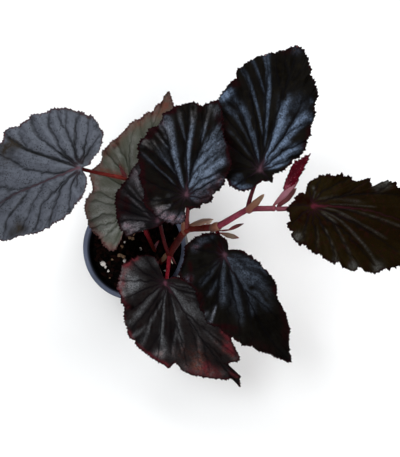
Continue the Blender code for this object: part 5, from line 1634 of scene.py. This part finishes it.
# Each husk's start and end, width, depth, arch, skin, the way its back faces, how many degrees it
# wraps round, and its form.
MAIN_HUSKS = {
    "n1_sliver": ((38, -8, 104), (42.5, -17, 106), 2.0, 1.2, 0.8, "pale_husk", UP, 180, "petal"),
    "n1_spur": ((40, -8, 104), (45.5, -17.5, 105), 1.9, 1.5, 0.5, "red_bud", UP, 180, "bud"),
    "n1_stipule": ((37, -7, 104), (30, -15, 100), 5.0, 2.2, 0.8, "olive_husk", UP, 170, "petal"),
    "n2_sheath": (
        (58.6, 11.6, 137), (62.2, 22, 149), 8.2, 7.2, 0.0, "orange_husk", (-0.6, 0, 1), 285, "sheath",
    ),
    "n2_stipule": ((65, 18, 150), (90.6, 20.8, 179), 6.2, 3.4, 0.3, "tan_husk", (0, 0.3, 1), 180, "leaf"),
    "n2_sliver": ((83.4, 17.6, 172), (89.6, 20.4, 178), 3.0, 1.4, 0.4, "pale_husk", UP, 150, "leaf"),
    "n3_sheath": ((87.2, 13.4, 167), (95.2, 15.6, 174), 8.2, 7.6, 0.0, "orange_husk", UP, 300, "sheath"),
    "n3_stipule": ((95, 9.8, 169), (111.6, 5.4, 167), 4.6, 2.0, 0.6, "green_husk", UP, 170, "leaf"),
    "n3_thread": ((94, 11.6, 170), (105.5, 12.4, 174), 1.7, 1.4, 0.1, "red_bud", UP, 180, "bud"),
    "n3_bud": ((102.5, 11.9, 173), (116.6, 17.2, 179), 3.3, 2.8, 0.3, "red_bud", UP, 180, "bud"),
    "n4_stipule": (
        (120.6, 25.6, 198), (135, 38.2, 213), 6.4, 4.0, 0.8, "tipped_husk", (0, -0.3, 1), 210, "petal",
    ),
    "n5_lobe": (
        (145, 27.4, 214), (160.4, 41.6, 222), 6.6, 3.4, 0.2, "lobe_husk", (0.3, -0.2, 1), 200, "leaf",
    ),
    "n5_stipule": (
        (141.6, 28, 215.5), (162.4, 47.6, 226), 5.4, 3.2, 0.5, "rose_husk", (-0.2, 0.2, 1), 200, "leaf",
    ),
}
SIDE_HUSKS = {
    "side_bud": ((8, 60, 151.5), (4, 71.5, 166), 3.6, 2.4, 0.6, "red_bud", UP, 200, "bud"),
    "side_stipule": ((19, -2, 82), (26, 7, 92), 3.2, 1.8, 0.6, "rose_husk", UP, 190, "petal"),
}


def build_husks():
    skins = {name: husk_skin(name, stops, edge) for name, (stops, edge) in HUSK_SKINS.items()}
    for node, husks, first_seed in (("main_stem", MAIN_HUSKS, 0), ("side_stem", SIDE_HUSKS, 31)):
        for seed, (name, husk) in enumerate(husks.items(), first_seed):
            start, end, width, depth, arch, skin, facing, wrap, form = husk
            add_husk(name, node, start, end, width, depth, arch, skins[skin], facing, wrap, form, seed)


# Pot and soil.

POT_SIDES = 192
RIM_TOP = 92.0
FOOT_INNER = 38.4
LIP_INNER = 48.3
FLOOR_THICK = 3.0
FLOOR_RADIUS = 35.0
HOLES = 6
HOLE_RADIUS = 4.0
HOLE_RING = 27.0
HOLE_SIDES = 32
# Radius and height of the wall's section, from the floor's underside up the outside, over the lip
# and down the inside.
POT_PROFILE = (
    (FLOOR_RADIUS, 0.0), (39.2, 0.0), (40.0, 0.4), (40.15, 1.2), (42.5, 20.0), (45.0, 41.0), (46.2, 52.0),
    (46.8, 56.4), (47.2, 56.9), (49.6, 57.0), (50.1, 57.3), (50.3, 58.2), (51.2, 72.0), (51.8, 84.0),
    (52.2, 89.8), (52.5, 90.3), (52.75, 90.9), (52.8, 91.4), (52.6, 91.85), (52.1, RIM_TOP),
    (51.0, RIM_TOP), (49.6, 91.9), (48.8, 91.6), (48.4, 91.1), (48.25, 90.4), (47.7, 85.0), (46.4, 73.0),
    (43.6, 47.0), (40.9, 22.0), (38.9, 4.2), (FOOT_INNER, 3.2), (37.6, FLOOR_THICK),
    (FLOOR_RADIUS, FLOOR_THICK),
)
SOIL_TOP = 79.0
SOIL_FOOT = 6.0
SOIL_BUMP = 1.8
# The room between the soil and the wall.
SOIL_CLEAR = 0.35


def inner_radius(height):
    """The pot's inner wall, which opens evenly from the floor to the lip."""
    return FOOT_INNER + (LIP_INNER - FOOT_INNER) * height / RIM_TOP


def soil_height(x, y):
    """The height of the soil's lumpy top, without its crumbs."""
    slow = noise.noise(Vector((x / 22.0, y / 22.0, 3.0)))
    quick = noise.noise(Vector((x / 7.0, y / 7.0, 8.0)))
    return SOIL_TOP + SOIL_BUMP * (slow + 0.8 * quick)


def circle(radius, count, x=0.0, y=0.0):
    """Places evenly spaced round a circle with its middle at x, y."""
    turns = [math.tau * k / count for k in range(count)]
    return [(x + radius * math.cos(turn), y + radius * math.sin(turn)) for turn in turns]


def share_of(value):
    """The value kept between 0 and 1."""
    return min(1.0, max(0.0, value))


def plastic():
    """Slate plastic, dusty, with painted light making it paler towards the back left, painted shade making
    it darker towards the front right, and painted shade nearly black below the lip.
    """
    shader = Shader("slate_plastic", roughness=0.42)
    cloud = shader.noise(22.0, 4.0)
    grain = shader.noise(900.0, 2.0)
    colour = shader.mix(shader.ramp(cloud, 0.3, 0.7), (0.080, 0.098, 0.152), (0.094, 0.112, 0.170))
    # Painted light and shade: the plastic is made paler towards the back left and darker towards the front
    # right.
    darker = shader.mix(0.4, colour, (0.0, 0.0, 0.0))
    paler = shader.mix(0.3, colour, (0.20, 0.23, 0.33))
    colour = shader.mix(shader.attribute("painted_light_side"), darker, paler)
    dust = shader.ramp(shader.noise(150.0, 6.0, 0.7), 0.52, 0.78, 0.0, 0.4)
    colour = shader.mix(dust, colour, (0.11, 0.105, 0.11))
    # Painted shade: nearly black below the lip, outside and inside.
    colour = shader.mix(shader.attribute("outside"), colour, (0.0080, 0.0085, 0.0120))
    colour = shader.mix(shader.attribute("inside"), colour, (0.0012, 0.0008, 0.0008))
    shader.set("Base Color", colour)
    shader.set("Specular IOR Level", 0.1)
    shader.set("Roughness", shader.ramp(cloud, 0.3, 0.7, 0.36, 0.5))
    shader.set("Normal", shader.bump(grain, 0.2, 0.0002))
    return shader.material


def build_pot():
    """The pot, turned from a profile of its wall with the floor left open for the drain holes."""
    places = []
    for radius, height in POT_PROFILE:
        for k in range(POT_SIDES):
            turn = math.tau * k / POT_SIDES
            wave = 1.0 + 0.0009 * math.sin(3 * turn + 1.0) + 0.0005 * math.sin(7 * turn)
            places.append((radius * wave * math.cos(turn), radius * wave * math.sin(turn), height))
    piece = add_mesh("pot_shell", places, grid_faces(len(POT_PROFILE), POT_SIDES))
    work = bmesh.new()
    work.from_mesh(piece.data)
    floor_faces(work)
    bmesh.ops.remove_doubles(work, verts=work.verts, dist=0.00002)
    bmesh.ops.recalc_face_normals(work, faces=work.faces)
    work.to_mesh(piece.data)
    work.free()
    piece.data.shade_smooth()
    piece.data.set_sharp_from_angle(angle=math.radians(38.0))
    # Below the lip, inside and outside go up to 1 on each side of the wall, where painted shade makes it
    # nearly black. The third value goes up to 1 towards the back left, where painted light makes the
    # plastic paler; where it is low, painted shade makes it darker.
    inside, outside, painted_light_side = [], [], []
    for vertex in piece.data.vertices:
        x, y, z = vertex.co / MM
        within = math.hypot(x, y) < inner_radius(z) + 0.6
        inside.append(share_of((90.0 - z) / 4.0) if within else 0.0)
        outside.append(0.0 if within else share_of((90.9 - z) / 1.5))
        painted_light_side.append(share_of((y - 0.35 * x + 16.0) / 22.0))
    add_values(piece, "inside", inside)
    add_values(piece, "outside", outside)
    add_values(piece, "painted_light_side", painted_light_side)
    piece.data.materials.append(plastic())
    stand_for(piece, "pot")


def floor_faces(work):
    """Fills the floor inside the wall as a plate with round holes, and adds the holes' walls."""

    def ring(loop, z):
        return [work.verts.new((x * MM, y * MM, z * MM)) for x, y in loop]

    holes = [circle(HOLE_RADIUS, HOLE_SIDES, x, y) for x, y in circle(HOLE_RING, HOLES)]
    for z in (0.0, FLOOR_THICK):
        edges = []
        for loop in [circle(FLOOR_RADIUS, POT_SIDES), *holes]:
            points = ring(loop, z)
            edges += [work.edges.new(pair) for pair in zip(points, points[1:] + points[:1])]
        bmesh.ops.triangle_fill(work, edges=edges, use_beauty=True, use_dissolve=False)
    for loop in holes:
        low, high = ring(loop, 0.0), ring(loop, FLOOR_THICK)
        for k in range(HOLE_SIDES):
            n = (k + 1) % HOLE_SIDES
            work.faces.new((low[k], low[n], high[n], high[k]))


def potting_mix():
    shader = Shader("potting_mix", roughness=0.9)
    tone = shader.noise(260.0, 6.0, 0.7)
    # Near-black browns: the soil's own dark tone, darkened further as painted shade under the leaves.
    stops = (
        (0.30, (0.0004, 0.0003, 0.0003)),
        (0.5, (0.0014, 0.0011, 0.001)),
        (0.66, (0.006, 0.004, 0.003)),
        (0.8, (0.03, 0.02, 0.013)),
    )
    shader.set("Base Color", shader.gradient(tone, stops))
    shader.set("Specular IOR Level", 0.01)
    shader.set("Roughness", shader.ramp(tone, 0.3, 0.7, 0.75, 0.98))
    shader.set("Normal", shader.bump(tone, 0.9, 0.0012))
    return shader.material


def build_soil():
    """Potting mix: a lumpy surface over a plain body that follows the wall down to its foot."""
    rings, rays = 90, 260
    top_radius = inner_radius(SOIL_TOP) - SOIL_CLEAR
    foot_radius = inner_radius(SOIL_FOOT) - SOIL_CLEAR
    places = [(0.0, 0.0, soil_height(0, 0))]
    for ring in range(1, rings + 1):
        share = ring / rings
        for x, y in circle(top_radius * share, rays):
            crumbs = noise.fractal(Vector((x / 2.4, y / 2.4, 5.0)), 0.7, 2.2, 5)
            pits = abs(noise.noise(Vector((x / 1.1, y / 1.1, 9.0))))
            places.append((x, y, soil_height(x, y) + 1.0 * crumbs - 0.9 * pits))
    faces = [(0, 1 + k, 1 + (k + 1) % rays) for k in range(rays)]
    faces += [tuple(v + 1 for v in face[::-1]) for face in grid_faces(rings, rays)]
    start = len(places)
    rim = places[-rays:]
    places += [(x * foot_radius / top_radius, y * foot_radius / top_radius, SOIL_FOOT) for x, y, _ in rim]
    places.append((0.0, 0.0, SOIL_FOOT))
    for k in range(rays):
        n = (k + 1) % rays
        faces.append((start - rays + n, start - rays + k, start + k, start + n))
        faces.append((start + n, start + k, start + rays))
    piece = add_mesh("soil_bed", places, faces)
    fix_normals(piece)
    piece.data.materials.append(potting_mix())
    stand_for(piece, "soil")


CRUMB_REACH = 44.0
# Each kind's count, sizes, stretches, flatness and two colours.
CRUMBS = {
    "bark": (
        190, (0.9, 2.3), (1.2, 2.4), 0.5,
        (0.25, (0.0006, 0.0004, 0.0004)), (0.75, (0.012, 0.004, 0.003)),
    ),
    "grit": (
        420, (0.4, 0.9), (1.0, 1.6), 0.8,
        (0.25, (0.0004, 0.0004, 0.0004)), (0.75, (0.005, 0.003, 0.0025)),
    ),
    "tan_chip": (
        9, (0.6, 1.3), (1.1, 1.8), 0.6,
        (0.25, (0.10, 0.06, 0.035)), (0.75, (0.26, 0.17, 0.11)),
    ),
    "perlite": (
        6, (0.6, 1.2), (1.0, 1.3), 0.9,
        (0.2, (0.42, 0.38, 0.35)), (0.7, (0.72, 0.69, 0.66)),
    ),
}
# The grains that show in the view, each as seen x, seen y and size.
SEEN_CRUMBS = {
    "tan_chip": (
        (119.5, 255.3, 2.0), (123.2, 256.6, 1.9), (121.6, 246.4, 1.8), (129.5, 237.5, 1.7),
        (132.5, 238.5, 1.9),
    ),
    "perlite": (
        (102.5, 263.6, 2.6), (124.3, 260.7, 1.7), (108.0, 271.0, 1.3), (105.0, 267.0, 1.2),
        (140.6, 248.5, 1.4), (183.5, 279.5, 1.4), (164.8, 270.6, 1.0),
    ),
}


def crumb(work, place, size, stretch, draw, flat):
    """One angular crumb: a rough blob, stretched, turned and cut by noise."""
    made = bmesh.ops.create_icosphere(work, subdivisions=2, radius=1.0)["verts"]
    offset = Vector((draw.uniform(0, 90), draw.uniform(0, 90), draw.uniform(0, 90)))
    turn = Euler((draw.uniform(-0.5, 0.5), draw.uniform(-0.5, 0.5), draw.uniform(0, math.tau)))
    for vertex in made:
        coarse = noise.noise(vertex.co * 1.3 + offset)
        fine = noise.noise(vertex.co * 3.1 + offset)
        local = Vector((vertex.co.x * stretch, vertex.co.y, vertex.co.z * flat))
        local = local * (1.0 + 0.55 * coarse + 0.25 * fine) * size
        local.rotate(turn)
        vertex.co = (Vector(place) + local) * MM


def crumb_skin(name, stops):
    shader = Shader(name + "_skin", roughness=0.85)
    tone = shader.noise(500.0, 5.0, 0.65)
    patch = shader.noise(170.0, 2.0)
    both = shader.plus(shader.times(tone, 0.5), shader.times(patch, 0.5))
    shader.set("Base Color", shader.gradient(both, stops))
    shader.set("Specular IOR Level", 0.02)
    shader.set("Normal", shader.bump(tone, 0.7, 0.0006))
    return shader.material


def build_crumbs():
    """Bark, grit, tan chips and perlite on the soil: the ones seen in the view, then others."""
    for name, (count, sizes, stretches, flat, *stops) in CRUMBS.items():
        draw = random.Random(name)
        work = bmesh.new()
        for px, py, size in SEEN_CRUMBS.get(name, ()):
            x, y, _ = from_seen(px, py, SOIL_TOP + 2.0)
            if math.hypot(x, y) < inner_radius(SOIL_TOP) - size * 1.2:
                crumb(work, (x, y, soil_height(x, y) + size * 0.5), size, 1.15, draw, 0.85)
        for _ in range(count):
            turn = draw.uniform(0, math.tau)
            radius = CRUMB_REACH * math.sqrt(draw.random())
            x, y = radius * math.cos(turn), radius * math.sin(turn)
            size = draw.uniform(*sizes)
            crumb(work, (x, y, soil_height(x, y) + size * 0.25), size, draw.uniform(*stretches), draw, flat)
        mesh = bpy.data.meshes.new(name)
        work.to_mesh(mesh)
        work.free()
        mesh.shade_smooth()
        mesh.set_sharp_from_angle(angle=math.radians(30.0))
        piece = bpy.data.objects.new(name, mesh)
        bpy.context.scene.collection.objects.link(piece)
        mesh.materials.append(crumb_skin(name, stops))
        stand_for(piece, "soil")


# Stage.

FLOOR_HALF = 3000.0
PAPER = 0.82
# The lights are soft round ones. Their places, size and aim are in metres and their power in watts.
LIGHT_AIM = Vector((0.06, 0.01, 0.1))
LIGHT_SIZE = 1.0
LIGHTS = {
    "soft_key": ((-0.47, 0.54, 1.95), 22.5, (0.95, 0.98, 1.0)),
    "soft_back": ((0.06, 1.42, 1.51), 21.0, (0.97, 0.99, 1.0)),
    "soft_front": ((0.06, -1.40, 1.51), 17.0, (1.0, 1.0, 1.0)),
    "soft_right": ((0.59, -0.52, 1.95), 12.5, (1.0, 1.0, 1.0)),
    "soft_corner": ((1.06, 1.01, 1.51), 10.0, (1.0, 1.0, 1.0)),
}
WORLD_LIGHT = 0.02


def build_camera():
    """The camera of the view."""
    camera = bpy.data.cameras.new("camera")
    camera.sensor_width = SENSOR
    camera.lens = FOCAL * SENSOR / SEEN_HEIGHT
    camera.clip_start = 0.01
    holder = bpy.data.objects.new("camera", camera)
    holder.location = CAMERA_PLACE * MM
    holder.rotation_euler = CAMERA_TURN
    bpy.context.scene.collection.objects.link(holder)
    bpy.context.scene.camera = holder


def build_floor():
    """A wide pale floor of matt paper."""
    corners = [(x * FLOOR_HALF, y * FLOOR_HALF, 0) for x, y in ((-1, -1), (1, -1), (1, 1), (-1, 1))]
    floor = add_mesh("floor", corners, [(0, 1, 2, 3)])
    paper = Shader("paper", roughness=0.9)
    paper.set("Base Color", (PAPER, PAPER, PAPER, 1.0))
    paper.set("Specular IOR Level", 0.0)
    floor.data.materials.append(paper.material)


def build_lights():
    """Soft round lights and a faint even one from everywhere."""
    for name, (place, power, colour) in LIGHTS.items():
        data = bpy.data.lights.new(name, "AREA")
        data.shape = "DISK"
        data.size = LIGHT_SIZE
        data.energy = power
        data.color = colour
        light = bpy.data.objects.new(name, data)
        light.location = place
        light.rotation_euler = (LIGHT_AIM - Vector(place)).to_track_quat("-Z", "Y").to_euler()
        bpy.context.scene.collection.objects.link(light)
    world = bpy.data.worlds.new("room")
    world.use_nodes = True
    background = world.node_tree.nodes["Background"]
    background.inputs["Color"].default_value = (1.0, 1.0, 1.0, 1.0)
    background.inputs["Strength"].default_value = WORLD_LIGHT
    bpy.context.scene.world = world
    bpy.context.scene.view_settings.view_transform = "Standard"


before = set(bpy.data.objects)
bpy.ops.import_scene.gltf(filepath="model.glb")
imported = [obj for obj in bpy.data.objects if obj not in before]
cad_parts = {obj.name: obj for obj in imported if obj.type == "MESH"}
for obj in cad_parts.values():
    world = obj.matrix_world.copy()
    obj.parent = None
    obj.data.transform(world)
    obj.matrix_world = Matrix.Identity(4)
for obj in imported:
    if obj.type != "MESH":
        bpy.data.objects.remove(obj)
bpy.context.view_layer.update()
for seed, (name, blade) in enumerate(BLADES.items()):
    build_blade(name, name, blade, LOOKS[name], seed)
build_blade("young_leaf", "main_stem", YOUNG_BLADE, YOUNG_LOOK, 41, YOUNG_RAYS)
build_stems()
build_husks()
build_pot()
build_soil()
build_crumbs()
build_camera()
build_floor()
build_lights()
